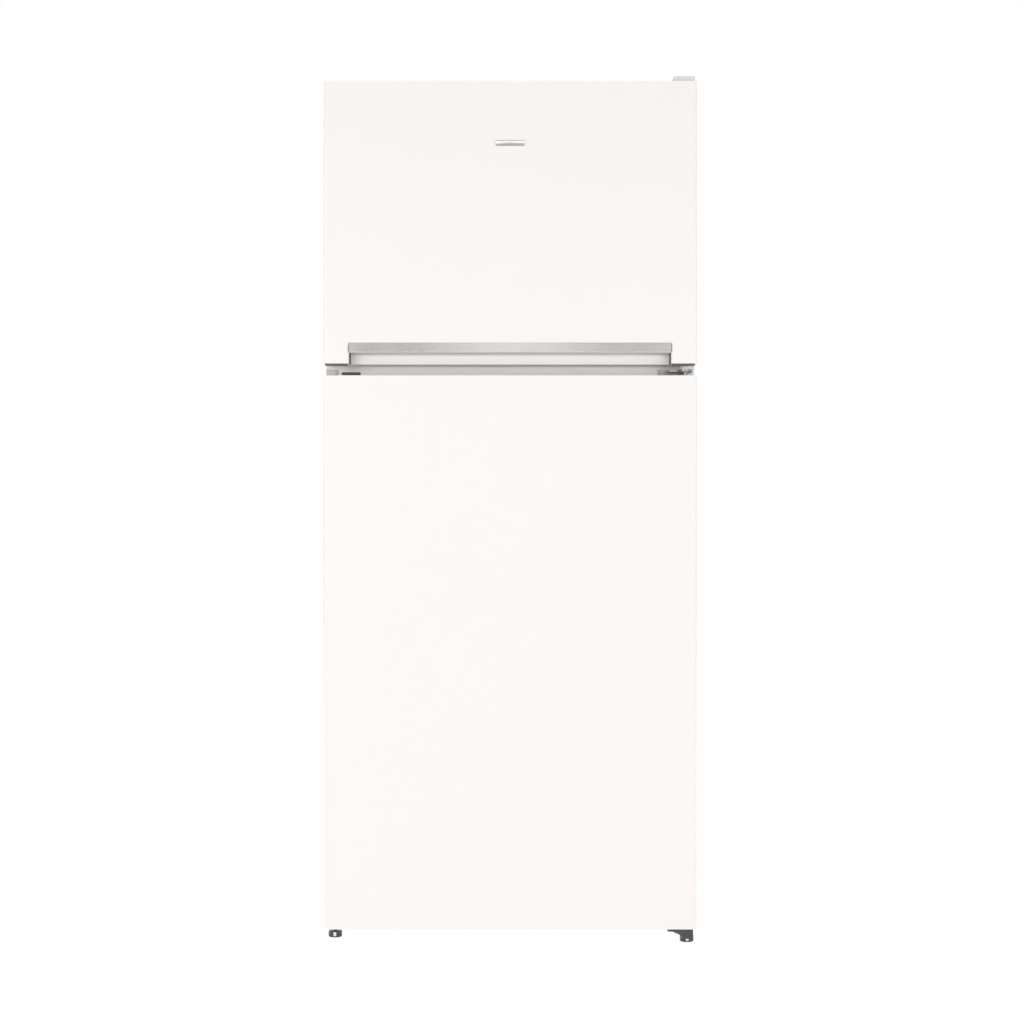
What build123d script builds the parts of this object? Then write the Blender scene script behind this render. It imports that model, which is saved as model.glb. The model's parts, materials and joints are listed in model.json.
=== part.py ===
from build123d import *
import os
from math import radians, sin

os.makedirs("parts", exist_ok=True)

# A 70 cm wide refrigerator with a frost-free freezer above a larger fridge.
# Millimetres, +Z up, doors facing -Y, +X to the viewer's right; the origin is on the floor,
# in the middle of the footprint. Doors are described shut.

# ------------------------------------------------------------------ driving dimensions
WIDTH = 700  # cabinet and doors
CABINET_TOP = 1623
CABINET_UNDERSIDE = 29
CABINET_DEPTH = 580  # front face to back panel
DOOR_THICKNESS = 55
GASKET_GAP = 10  # door back to cabinet face
SPACER_REACH = 45  # wall spacers, behind the back panel
SHEET = 1  # painted steel sheet
WALL = 2  # moulded and vacuum-formed plastic
GAP = 0.2  # between pieces that lie against each other
FIT = 0.05  # radial clearance of a pin in its bush

HALF_WIDTH = WIDTH / 2
DEPTH = DOOR_THICKNESS + GASKET_GAP + CABINET_DEPTH + SPACER_REACH
Y_FRONT = -DEPTH / 2
Y_DOOR_BACK = Y_FRONT + DOOR_THICKNESS
Y_FACE = Y_DOOR_BACK + GASKET_GAP
Y_BACK = Y_FACE + CABINET_DEPTH

FRIDGE_DOOR = (32, 1069.5)  # bottom and top edges
FREEZER_DOOR = (1092, 1621)
PIVOT = (330, -315)  # vertical hinge axis of both doors
PIN_RADIUS = 4
PIN_DEPTH = 12  # of a hinge pin inside its door

SPACE_HALF_WIDTH = 300  # inside of both compartments
FREEZER_SPACE = (1120, 1568)
FRIDGE_SPACE = (85, 1044)
FREEZER_BACK = 236
FRIDGE_BACK = 238
HUMP_FRONT = 63  # step in the fridge's rear floor, over the compressor niche
HUMP_TOP = 294
PROFILE_RADIUS = 25  # compartment corners seen from the side
EDGE_RADIUS = 15  # compartment corners seen from the front

FRIDGE_SHELVES = (300, 480, 680, 860)  # underside of each glass; the first covers the crispers
FREEZER_SHELF = 1345
GLASS = 4
SHELF_FRONT = -160

NICHE_FRONT = 100  # compressor niche
NICHE_TOP = 250

GRIP_HALF_WIDTH = 304  # finger notch under the freezer door
GRIP_TOP = 1131
STRIP_HEIGHT = 20  # silver handle strip at the notch
POCKET_TOP = 1142
POCKET_BACK = -313

DOOR_RIM = 3  # visible edge of the door end caps
CAP_INSERT = 12  # depth of the caps inside the door skin
CORNER_RADIUS = 5  # vertical front corners of the doors

DIKE_HALF_WIDTH = 292  # raised border of the door liners
DIKE_WIDTH = 30
DIKE_REACH = -255
GASKET_HALF_WIDTH = 328
GASKET_WIDTH = 18

BALCONY_HALF_WIDTH = 258
BALCONY_SPAN = (Y_DOOR_BACK + 0.5, -185)
FREEZER_BALCONIES = {1180: 75, 1380: 75}  # floor height: wall height
FRIDGE_BALCONIES = {130: 95, 395: 75, 610: 75, 825: 60}

FAN_CENTRE = (0, 1400)
FAN_SHAFT_RADIUS = 2.5
COMPRESSOR_CENTRE = (95, 195)
ROLLER_RADIUS = 17
ROLLER_CENTRE = (300, 270)


# ------------------------------------------------------------------ shared shapes
def block(x, y, z, mode=Mode.ADD):
    """A block given by its two faces along each axis."""
    spans = (x, y, z)
    with Locations(tuple((low + high) / 2 for low, high in spans)):
        Box(*(high - low for low, high in spans), mode=mode)


def rod_x(y, z, span, radius, mode=Mode.ADD):
    """A round bar along X between the two ends in span."""
    with Locations(((span[0] + span[1]) / 2, y, z)):
        Cylinder(radius, span[1] - span[0], rotation=(0, 90, 0), mode=mode)


def rod_y(x, z, span, radius, mode=Mode.ADD):
    """A round bar along Y between the two ends in span."""
    with Locations((x, (span[0] + span[1]) / 2, z)):
        Cylinder(radius, span[1] - span[0], rotation=(90, 0, 0), mode=mode)


def rod_z(x, y, span, radius, mode=Mode.ADD):
    """A round bar along Z between the two ends in span."""
    with Locations((x, y, (span[0] + span[1]) / 2)):
        Cylinder(radius, span[1] - span[0], mode=mode)


def panel(y, half_width, z, radius, mode=Mode.ADD):
    """A rounded rectangular plate facing the front, between the two Y faces in y."""
    with BuildSketch(Plane.XZ.offset(-y[0])) as face:
        with Locations((0, (z[0] + z[1]) / 2)):
            RectangleRounded(2 * half_width, z[1] - z[0], radius)
    extrude(face.sketch, amount=y[0] - y[1], mode=mode)


def freezer_outline(grow):
    """Side view of the freezer's inside, as (Y, Z) points, grown by grow."""
    bottom, top = FREEZER_SPACE[0] - grow, FREEZER_SPACE[1] + grow
    back = FREEZER_BACK + grow
    return [(Y_FACE, bottom), (back, bottom), (back, top), (Y_FACE, top)]


def fridge_outline(grow):
    """Side view of the fridge's inside, with the step over the compressor, grown by grow."""
    bottom, top = FRIDGE_SPACE[0] - grow, FRIDGE_SPACE[1] + grow
    back = FRIDGE_BACK + grow
    step = (HUMP_FRONT + grow, HUMP_TOP - grow)
    return [(Y_FACE, bottom), (step[0], bottom), step, (back, step[1]), (back, top), (Y_FACE, top)]


def space_solid(outline, grow):
    """The inside of a compartment as a solid, grown everywhere but at its open front."""
    half = SPACE_HALF_WIDTH + grow
    with BuildPart() as space:
        with BuildSketch(Plane.YZ) as profile:
            with BuildLine():
                Polyline(*outline(grow), close=True)
            make_face()
            inner = profile.vertices().filter_by(lambda vertex: vertex.X > Y_FACE + 1)
            fillet(inner, radius=PROFILE_RADIUS)
        extrude(amount=half, both=True)
        sides = space.edges().filter_by(
            lambda edge: abs(abs(edge.center().X) - half) < GAP and edge.center().Y > Y_FACE + 1
        )
        fillet(sides, radius=EDGE_RADIUS)
    return space.part


freezer_inside = space_solid(freezer_outline, 0)
freezer_outside = space_solid(freezer_outline, WALL)
freezer_clearance = space_solid(freezer_outline, WALL + GAP)
fridge_inside = space_solid(fridge_outline, 0)
fridge_outside = space_solid(fridge_outline, WALL)
fridge_clearance = space_solid(fridge_outline, WALL + GAP)

# ------------------------------------------------------------------ cabinet
FLANGE = 47.8  # folded front edge of the side walls
REAR_FLANGE = 12
TOP_CORNER = FREEZER_SPACE[1] - EDGE_RADIUS  # where the opening's top corners begin

with BuildPart() as cabinet_shell:
    block((-HALF_WIDTH, HALF_WIDTH), (Y_FACE, Y_BACK), (CABINET_UNDERSIDE, CABINET_TOP))
    inner_half = HALF_WIDTH - SHEET
    flange_half = HALF_WIDTH - FLANGE
    rear_half = inner_half - REAR_FLANGE
    block(
        (-inner_half, inner_half),
        (Y_FACE + SHEET, Y_BACK - SHEET),
        (CABINET_UNDERSIDE, CABINET_TOP - SHEET),
        mode=Mode.SUBTRACT,
    )
    block(
        (-rear_half, rear_half),
        (Y_BACK - SHEET, Y_BACK),
        (CABINET_UNDERSIDE, CABINET_TOP - SHEET - REAR_FLANGE),
        mode=Mode.SUBTRACT,
    )
    block(
        (-flange_half, flange_half),
        (Y_FACE, Y_FACE + SHEET),
        (CABINET_UNDERSIDE, TOP_CORNER),
        mode=Mode.SUBTRACT,
    )
    add(freezer_clearance, mode=Mode.SUBTRACT)
    upright = cabinet_shell.edges().filter_by(Axis.Y).filter_by(
        lambda edge: abs(edge.center().X) > HALF_WIDTH - GAP and edge.center().Z > CABINET_TOP - GAP
    )
    fillet(upright, radius=SHEET * 0.9)
cabinet_shell.part.label = "cabinet_shell"
export_step(cabinet_shell.part, "parts/cabinet_shell.step")

RAIL_HALF = HALF_WIDTH - FLANGE - GAP
with BuildPart() as front_rails:
    # The mullion plate between the doors, with its foot reaching round the opening's corners.
    block(
        (-RAIL_HALF, RAIL_HALF),
        (Y_FACE, Y_FACE + SHEET),
        (FRIDGE_SPACE[1] - EDGE_RADIUS, FREEZER_SPACE[0] + EDGE_RADIUS),
    )
    block(
        (-RAIL_HALF, RAIL_HALF),
        (Y_FACE, Y_FACE + SHEET),
        (CABINET_UNDERSIDE, FRIDGE_SPACE[0] + EDGE_RADIUS),
    )
    add(freezer_clearance, mode=Mode.SUBTRACT)
    add(fridge_clearance, mode=Mode.SUBTRACT)
front_rails.part.label = "front_rails"
export_step(front_rails.part, "parts/front_rails.step")

PAN_HALF = HALF_WIDTH - SHEET - GAP
PAN_BACK = Y_BACK - SHEET - GAP
with BuildPart() as base_pan:
    # One bent sheet: the cabinet's underside, then up and over the compressor niche.
    with BuildSketch(Plane.YZ):
        with BuildLine():
            Polyline(
                (Y_FACE + SHEET + GAP, CABINET_UNDERSIDE),
                (NICHE_FRONT, CABINET_UNDERSIDE),
                (NICHE_FRONT, NICHE_TOP),
                (PAN_BACK - SHEET, NICHE_TOP),
                (PAN_BACK - SHEET, NICHE_TOP + SHEET),
                (NICHE_FRONT - SHEET, NICHE_TOP + SHEET),
                (NICHE_FRONT - SHEET, CABINET_UNDERSIDE + SHEET),
                (Y_FACE + SHEET + GAP, CABINET_UNDERSIDE + SHEET),
                close=True,
            )
        make_face()
    extrude(amount=PAN_HALF, both=True)
base_pan.part.label = "base_pan"
export_step(base_pan.part, "parts/base_pan.step")

PANEL_BACK = (Y_BACK - 2 * SHEET, Y_BACK - SHEET)
PANEL_Z = (NICHE_TOP + 2 * SHEET, CABINET_TOP - SHEET - GAP)
RIB_COUNT = 4
with BuildPart() as back_panel:
    block((-PAN_HALF, PAN_HALF), PANEL_BACK, PANEL_Z)
    # Pressed stiffening ribs, standing into the foam by half a sheet.
    for rib in range(RIB_COUNT):
        rib_x = (rib - (RIB_COUNT - 1) / 2) * PAN_HALF / 2
        block(
            (rib_x - 6, rib_x + 6),
            (PANEL_BACK[1] - SHEET / 2, PANEL_BACK[1]),
            (PANEL_Z[0] + 80, PANEL_Z[1] - 80),
            mode=Mode.SUBTRACT,
        )
back_panel.part.label = "back_panel"
export_step(back_panel.part, "parts/back_panel.step")

with BuildPart() as cabinet_foam:
    with BuildSketch(Plane.YZ):
        with BuildLine():
            foam_front = Y_FACE + SHEET + GAP
            foam_back = PANEL_BACK[0] - GAP
            foam_bottom = CABINET_UNDERSIDE + SHEET + GAP
            foam_step = (NICHE_FRONT - SHEET - GAP, NICHE_TOP + SHEET + GAP)
            foam_top = CABINET_TOP - SHEET - GAP
            Polyline(
                (foam_front, foam_bottom),
                (foam_step[0], foam_bottom),
                foam_step,
                (foam_back, foam_step[1]),
                (foam_back, foam_top),
                (foam_front, foam_top),
                close=True,
            )
        make_face()
    extrude(amount=PAN_HALF, both=True)
    add(freezer_clearance, mode=Mode.SUBTRACT)
    add(fridge_clearance, mode=Mode.SUBTRACT)
cabinet_foam.part.label = "cabinet_foam"
export_step(cabinet_foam.part, "parts/cabinet_foam.step")

# ------------------------------------------------------------------ liners
LEDGE = (292, SPACE_HALF_WIDTH + WALL / 2)  # shelf ledges on the side walls
LEDGE_Y = (-150, 190)
LEDGE_HEIGHT = 8


def shelf_ledges(level, back=LEDGE_Y[1]):
    """A ledge on each side wall, with its top at the given level."""
    for side in (-1, 1):
        x = sorted(side * edge for edge in LEDGE)
        block(x, (LEDGE_Y[0], back), (level - LEDGE_HEIGHT, level))


with BuildPart() as freezer_liner:
    add(freezer_outside)
    add(freezer_inside, mode=Mode.SUBTRACT)
    shelf_ledges(FREEZER_SHELF, back=170)
freezer_liner.part.label = "freezer_liner"
export_step(freezer_liner.part, "parts/freezer_liner.step")

with BuildPart() as fridge_liner:
    add(fridge_outside)
    add(fridge_inside, mode=Mode.SUBTRACT)
    shelf_ledges(FRIDGE_SHELVES[0], back=HUMP_FRONT - 1)
    for level in FRIDGE_SHELVES[1:]:
        shelf_ledges(level)
    # A raised runner between the crispers.
    block((-1, 1), (-150, 40), (FRIDGE_SPACE[0] - WALL / 2, FRIDGE_SPACE[0] + 20))
fridge_liner.part.label = "fridge_liner"
export_step(fridge_liner.part, "parts/fridge_liner.step")

# ------------------------------------------------------------------ shelves
GLASS_HALF = 296
FRIDGE_GLASS_BACK = 205
FREEZER_GLASS_BACK = 170
TRIM_LAP = 6  # the trims' grip on the glass


def glass_back(level):
    """Rear edge of the glass at a level: the freezer's stops short of the evaporator cover."""
    return FREEZER_GLASS_BACK if level == FREEZER_SHELF else FRIDGE_GLASS_BACK


with BuildPart() as shelf_glasses:
    for level in (*FRIDGE_SHELVES, FREEZER_SHELF):
        block(
            (-GLASS_HALF, GLASS_HALF),
            (SHELF_FRONT, glass_back(level)),
            (level, level + GLASS),
        )
shelf_glasses.part.label = "shelf_glasses"
export_step(shelf_glasses.part, "parts/shelf_glasses.step")

TRIM_HALF = GLASS_HALF - 5
with BuildPart() as shelf_trims:
    for level in (*FRIDGE_SHELVES, FREEZER_SHELF):
        back = glass_back(level)
        # Front trim: a rounded nose that grips the glass from above and below.
        with BuildSketch(Plane.YZ) as nose:
            with Locations((SHELF_FRONT - 3, level + GLASS / 2)):
                RectangleRounded(2 * TRIM_LAP + 6, GLASS + 9, 5)
            with Locations((SHELF_FRONT + TRIM_LAP + GAP, level + GLASS / 2)):
                Rectangle(2 * TRIM_LAP + 2 * GAP + 1, GLASS + 2 * GAP, mode=Mode.SUBTRACT)
        extrude(nose.sketch, amount=TRIM_HALF, both=True)
        # Rear trim: a low guard behind the glass.
        with BuildSketch(Plane.YZ) as guard:
            with Locations((back - 1, level + GLASS / 2)):
                Rectangle(2 * TRIM_LAP - 4, GLASS + 5)
            with Locations((back - 3, level + GLASS / 2)):
                Rectangle(TRIM_LAP + 2 * GAP, GLASS + 2 * GAP, mode=Mode.SUBTRACT)
        extrude(guard.sketch, amount=TRIM_HALF, both=True)
shelf_trims.part.label = "shelf_trims"
export_step(shelf_trims.part, "parts/shelf_trims.step")

# ------------------------------------------------------------------ crispers
CRISPER_WIDTH = 290
CRISPER_Y = (-155, 55)
CRISPER_Z = (FRIDGE_SPACE[0] + 3, 285)
CRISPER_WALL = 2.5
CRISPER_TAPER = 2.5  # degrees, wider at the top
CRISPER_X = {"left": -149, "right": 149}


def drawer(centre_x):
    """A tapered open drawer with a rim and a finger lip along its front."""
    height = CRISPER_Z[1] - CRISPER_Z[0]
    shrink = 2 * height * sin(radians(CRISPER_TAPER))
    depth = CRISPER_Y[1] - CRISPER_Y[0]
    middle = (centre_x, (CRISPER_Y[0] + CRISPER_Y[1]) / 2)
    with BuildSketch(Plane.XY.offset(CRISPER_Z[0])) as floor:
        with Locations(middle):
            RectangleRounded(CRISPER_WIDTH - 10 - shrink, depth - 10 - shrink, 18)
    extrude(floor.sketch, amount=height, taper=-CRISPER_TAPER)
    rim_z = CRISPER_Z[1] - 3
    with BuildSketch(Plane.XY.offset(rim_z)) as rim:
        with Locations(middle):
            RectangleRounded(CRISPER_WIDTH, depth, 14)
    extrude(rim.sketch, amount=3)
    with BuildSketch(Plane.XY.offset(CRISPER_Z[0] + CRISPER_WALL)) as hollow:
        with Locations(middle):
            cut = 10 + shrink + 2 * CRISPER_WALL
            RectangleRounded(CRISPER_WIDTH - cut, depth - cut, 16)
    extrude(hollow.sketch, amount=height, taper=-CRISPER_TAPER, mode=Mode.SUBTRACT)
    # Finger lip, hanging from the front of the rim.
    block(
        (centre_x - 60, centre_x + 60),
        (CRISPER_Y[0], CRISPER_Y[0] + 2.5),
        (rim_z - 20, rim_z + 1),
    )


with BuildPart() as crisper_left:
    drawer(CRISPER_X["left"])
crisper_left.part.label = "crisper_left"
export_step(crisper_left.part, "parts/crisper_left.step")

with BuildPart() as crisper_right:
    drawer(CRISPER_X["right"])
crisper_right.part.label = "crisper_right"
export_step(crisper_right.part, "parts/crisper_right.step")

# ------------------------------------------------------------------ freezer air system
COVER_Y = (176, 179)
COVER_Z = (FREEZER_SPACE[0] + 3, FREEZER_SPACE[1] - 3)
SHROUD = (60, 66)  # inner and outer radius of the fan shroud
SHROUD_BACK = 205
LOUVER_COUNT = 9
SPOKE_COUNT = 6

with BuildPart() as evaporator_cover:
    panel(COVER_Y, SPACE_HALF_WIDTH - 3, COVER_Z, EDGE_RADIUS)
    # Return-air louvers along the foot and outlet louvers near the top.
    for row_z, slot_height in ((1142, 8), (1536, 6), (1522, 6)):
        for slot in range(LOUVER_COUNT):
            slot_x = (slot - (LOUVER_COUNT - 1) / 2) * 58
            with BuildSketch(Plane.XZ.offset(-COVER_Y[0])) as louver:
                with Locations((slot_x, row_z)):
                    SlotOverall(46, slot_height)
            extrude(louver.sketch, amount=COVER_Y[0] - COVER_Y[1], mode=Mode.SUBTRACT)
    # Ring-shaped slots in front of the fan, crossed by spokes.
    with BuildSketch(Plane.XZ.offset(-COVER_Y[0])) as grille:
        with Locations(FAN_CENTRE):
            for radius in (54, 44, 34, 24):
                Circle(radius)
                Circle(radius - 6, mode=Mode.SUBTRACT)
            with PolarLocations(0, SPOKE_COUNT):
                Rectangle(120, 4, mode=Mode.SUBTRACT)
    extrude(grille.sketch, amount=COVER_Y[0] - COVER_Y[1], mode=Mode.SUBTRACT)
    # Fan shroud, motor boss and the shaft that the rotor turns on.
    rod_y(*FAN_CENTRE, (COVER_Y[1], SHROUD_BACK), SHROUD[1])
    rod_y(*FAN_CENTRE, (COVER_Y[1], SHROUD_BACK), SHROUD[0], mode=Mode.SUBTRACT)
    rod_y(*FAN_CENTRE, (COVER_Y[1], COVER_Y[1] + 4), 16)
    rod_y(*FAN_CENTRE, (COVER_Y[1], SHROUD_BACK), FAN_SHAFT_RADIUS)
evaporator_cover.part.label = "evaporator_cover"
export_step(evaporator_cover.part, "parts/evaporator_cover.step")

ROTOR_Y = (184, 203)
BLADE_COUNT = 7
BLADE_PITCH = 35  # degrees out of the fan's plane
ROTOR_PLANE = Plane(origin=(FAN_CENTRE[0], sum(ROTOR_Y) / 2, FAN_CENTRE[1]), z_dir=(0, -1, 0))

with BuildPart(ROTOR_PLANE) as fan_rotor:
    rotor_height = ROTOR_Y[1] - ROTOR_Y[0]
    Cylinder(19, rotor_height)
    with PolarLocations(35, BLADE_COUNT):
        Box(40, 22, 1.6, rotation=(BLADE_PITCH, 0, 0))
    Cylinder(56, rotor_height, mode=Mode.INTERSECT)
    Cylinder(FAN_SHAFT_RADIUS + FIT, rotor_height, mode=Mode.SUBTRACT)
fan_rotor.part.label = "fan_rotor"
export_step(fan_rotor.part, "parts/fan_rotor.step")

COIL_HALF = 245
COIL_Y = (188, 232)
COIL_ROWS = (1165, 1205, 1245, 1285)
FIN_PITCH = 14
COIL_TUBE = 4

with BuildPart() as evaporator:
    # Aluminium fins on two banks of tube, joined by return bends at alternate ends.
    fin_count = int(2 * COIL_HALF / FIN_PITCH)
    for fin in range(fin_count + 1):
        fin_x = (fin - fin_count / 2) * FIN_PITCH
        block((fin_x - 0.4, fin_x + 0.4), COIL_Y, (COIL_ROWS[0] - 15, COIL_ROWS[-1] + 15))
    for row_y in (COIL_Y[0] + 11, COIL_Y[1] - 11):
        for row_z in COIL_ROWS:
            rod_x(row_y, row_z, (-COIL_HALF - 10, COIL_HALF + 10), COIL_TUBE)
        for turn, row_z in enumerate(COIL_ROWS[:-1]):
            end = (COIL_HALF + 10) * (1 if turn % 2 == 0 else -1)
            rod_z(end, row_y, (row_z, row_z + COIL_ROWS[1] - COIL_ROWS[0]), COIL_TUBE)
evaporator.part.label = "evaporator"
export_step(evaporator.part, "parts/evaporator.step")

DUCT_HALF = 65
DUCT_Y = (213, FRIDGE_BACK - GAP)
DUCT_Z = (330, 1000)
with BuildPart() as air_duct:
    panel(DUCT_Y, DUCT_HALF, DUCT_Z, 12)
    front = air_duct.faces().sort_by(Axis.Y)[0]
    fillet(front.edges(), radius=4)
    block(
        (-DUCT_HALF + WALL, DUCT_HALF - WALL),
        (DUCT_Y[0] + WALL, DUCT_Y[1]),
        (DUCT_Z[0] + WALL, DUCT_Z[1] - WALL),
        mode=Mode.SUBTRACT,
    )
    # Pairs of cold-air outlets between the shelves.
    for outlet_z in (400, 560, 650, 740, 830, 920):
        for outlet_x in (-32, 32):
            with BuildSketch(Plane.XZ.offset(-DUCT_Y[0])) as outlet:
                with Locations((outlet_x, outlet_z)):
                    SlotOverall(40, 10)
            extrude(outlet.sketch, amount=-WALL, mode=Mode.SUBTRACT)
air_duct.part.label = "air_duct"
export_step(air_duct.part, "parts/air_duct.step")

# ------------------------------------------------------------------ lamp, thermostat, switch
LAMP_HALF = 90
LAMP_Y = (-120, 40)
LAMP_Z = (1012, FRIDGE_SPACE[1] - GAP)
KNOB = (55, 1027)  # X and Z of the knob's axis
KNOB_Y = (-134, LAMP_Y[0] - 0.3)
SWITCH = (215, 1022)
SWITCH_BOX_Y = (-235, -200)
PLUNGER_RADIUS = 4
PLUNGER_TIP = DIKE_REACH + 0.5

with BuildPart() as lamp_housing:
    block((-LAMP_HALF, LAMP_HALF), LAMP_Y, LAMP_Z)
    fillet(lamp_housing.edges().filter_by(Axis.Z), radius=8)
    block(
        (-LAMP_HALF + WALL, LAMP_HALF - WALL),
        (LAMP_Y[0] + WALL, LAMP_Y[1] - WALL),
        (LAMP_Z[0], LAMP_Z[1] - WALL),
        mode=Mode.SUBTRACT,
    )
    # Boss behind the knob, carrying the spindle that it turns on.
    block((KNOB[0] - 14, KNOB[0] + 14), (LAMP_Y[0], LAMP_Y[0] + 26), LAMP_Z)
    rod_y(*KNOB, (KNOB_Y[0] + 3, LAMP_Y[0] + 1), 3)
    # Strip of lamps under the roof of the housing.
    block((-70, 30), (-45, -25), (LAMP_Z[1] - WALL - 4, LAMP_Z[1] - WALL))
    # Switch box on the ceiling near the door, bored for its plunger.
    block((SWITCH[0] - 15, SWITCH[0] + 15), SWITCH_BOX_Y, (1008, LAMP_Z[1]))
    rod_y(*SWITCH, (SWITCH_BOX_Y[0], SWITCH_BOX_Y[1] - 3), PLUNGER_RADIUS + FIT, mode=Mode.SUBTRACT)
lamp_housing.part.label = "lamp_housing"
export_step(lamp_housing.part, "parts/lamp_housing.step")

with BuildPart() as lamp_cover:
    block((-LAMP_HALF, LAMP_HALF), LAMP_Y, (1002, LAMP_Z[0] - GAP))
    fillet(lamp_cover.edges().filter_by(Axis.Z), radius=8)
    fillet(lamp_cover.faces().sort_by(Axis.Z)[0].edges(), radius=5)
    block(
        (-LAMP_HALF + WALL, LAMP_HALF - WALL),
        (LAMP_Y[0] + WALL, LAMP_Y[1] - WALL),
        (1002 + WALL, LAMP_Z[0]),
        mode=Mode.SUBTRACT,
    )
lamp_cover.part.label = "lamp_cover"
export_step(lamp_cover.part, "parts/lamp_cover.step")

KNOB_PLANE = Plane(origin=(KNOB[0], KNOB_Y[1], KNOB[1]), z_dir=(0, -1, 0))
with BuildPart(KNOB_PLANE) as thermostat_knob:
    knob_height = KNOB_Y[1] - KNOB_Y[0]
    Cylinder(14, 5, align=(Align.CENTER, Align.CENTER, Align.MIN))
    Cylinder(11, knob_height, align=(Align.CENTER, Align.CENTER, Align.MIN))
    with PolarLocations(11, 18):
        Cylinder(0.9, knob_height, align=(Align.CENTER, Align.CENTER, Align.MIN))
    with Locations((0, 5, knob_height - 0.5)):
        Box(2, 8, 1, mode=Mode.SUBTRACT)
    Cylinder(
        3 + FIT,
        knob_height - 2,
        align=(Align.CENTER, Align.CENTER, Align.MIN),
        mode=Mode.SUBTRACT,
    )
thermostat_knob.part.label = "thermostat_knob"
export_step(thermostat_knob.part, "parts/thermostat_knob.step")

with BuildPart() as light_switch:
    rod_y(*SWITCH, (PLUNGER_TIP, SWITCH_BOX_Y[0] + 20), PLUNGER_RADIUS)
    tip = light_switch.faces().sort_by(Axis.Y)[0]
    fillet(tip.edges(), radius=PLUNGER_RADIUS / 2)
light_switch.part.label = "light_switch"
export_step(light_switch.part, "parts/light_switch.step")

# ------------------------------------------------------------------ ice maker
BIN_X = (-290, -150)
BIN_Y = (-135, 60)
BIN_Z = (FREEZER_SPACE[0] + 2.5, 1190)
TRAY_AXIS = (-220, 1250)  # X and Z
TRAY_SHAFT = 5
TRAY_SHAFT_FIT = 0.1
TRAY_Y = (-120, 45)

with BuildPart() as ice_bin:
    block(BIN_X, BIN_Y, BIN_Z)
    fillet(ice_bin.edges().filter_by(Axis.Z), radius=10)
    hollow_x = (BIN_X[0] + WALL, BIN_X[1] - WALL)
    block(
        hollow_x,
        (BIN_Y[0] + 5, BIN_Y[1] - 5),
        (BIN_Z[0] + WALL, BIN_Z[1]),
        mode=Mode.SUBTRACT,
    )
    # End plates that carry the tray above the bin.
    for plate_y in ((BIN_Y[0], BIN_Y[0] + 5), (BIN_Y[1] - 5, BIN_Y[1])):
        with BuildSketch(Plane.XZ.offset(-plate_y[0])) as plate:
            with BuildLine():
                Polyline(
                    (TRAY_AXIS[0] - 50, BIN_Z[0] + 20),
                    (TRAY_AXIS[0] + 50, BIN_Z[0] + 20),
                    (TRAY_AXIS[0] + 20, TRAY_AXIS[1] + 14),
                    (TRAY_AXIS[0] - 20, TRAY_AXIS[1] + 14),
                    close=True,
                )
            make_face()
        extrude(plate.sketch, amount=plate_y[0] - plate_y[1])
        rod_y(*TRAY_AXIS, plate_y, TRAY_SHAFT + TRAY_SHAFT_FIT, mode=Mode.SUBTRACT)
ice_bin.part.label = "ice_bin"
export_step(ice_bin.part, "parts/ice_bin.step")

CUP_COLUMNS, CUP_ROWS = 2, 5
with BuildPart() as ice_tray:
    block((TRAY_AXIS[0] - 48, TRAY_AXIS[0] + 48), TRAY_Y, (TRAY_AXIS[1] - 14, TRAY_AXIS[1] + 14))
    fillet(ice_tray.edges().filter_by(Axis.Y), radius=5)
    cup_pitch = (TRAY_Y[1] - TRAY_Y[0] - 6) / CUP_ROWS
    with BuildSketch(Plane.XY.offset(TRAY_AXIS[1] + 14)) as cups:
        with Locations((TRAY_AXIS[0], sum(TRAY_Y) / 2)):
            with GridLocations(45, cup_pitch, CUP_COLUMNS, CUP_ROWS):
                RectangleRounded(41, cup_pitch - 3, 6)
    extrude(cups.sketch, amount=-25, taper=12, mode=Mode.SUBTRACT)
    rod_y(*TRAY_AXIS, (BIN_Y[0] - 3, TRAY_Y[0] + 1), TRAY_SHAFT)
    rod_y(*TRAY_AXIS, (TRAY_Y[1] - 1, BIN_Y[1] + 2), TRAY_SHAFT)
    # Turning knob at the front.
    rod_y(*TRAY_AXIS, (BIN_Y[0] - 13, BIN_Y[0] - 2), 13)
    block(
        (TRAY_AXIS[0] - 2.5, TRAY_AXIS[0] + 2.5),
        (BIN_Y[0] - 18, BIN_Y[0] - 12),
        (TRAY_AXIS[1] - 12, TRAY_AXIS[1] + 12),
    )
ice_tray.part.label = "ice_tray"
export_step(ice_tray.part, "parts/ice_tray.step")

# ------------------------------------------------------------------ compressor niche
BASE_Z = (44, 46)
BASE_Y = (NICHE_FRONT + 1, Y_BACK - 2)
AXLE_RADIUS = 4
ROLLER_HALF = 9
CHEEK_GAP = 11  # roller centre to the inner face of each cheek
CHEEK = 2
GLAND = (-150, 72)  # X and Z of the cord gland
GLAND_BORE = 3.75
TAB_Y = (286, 288)
MOUNT_OFFSETS = (85, 55)  # compressor feet, from its centre

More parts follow.
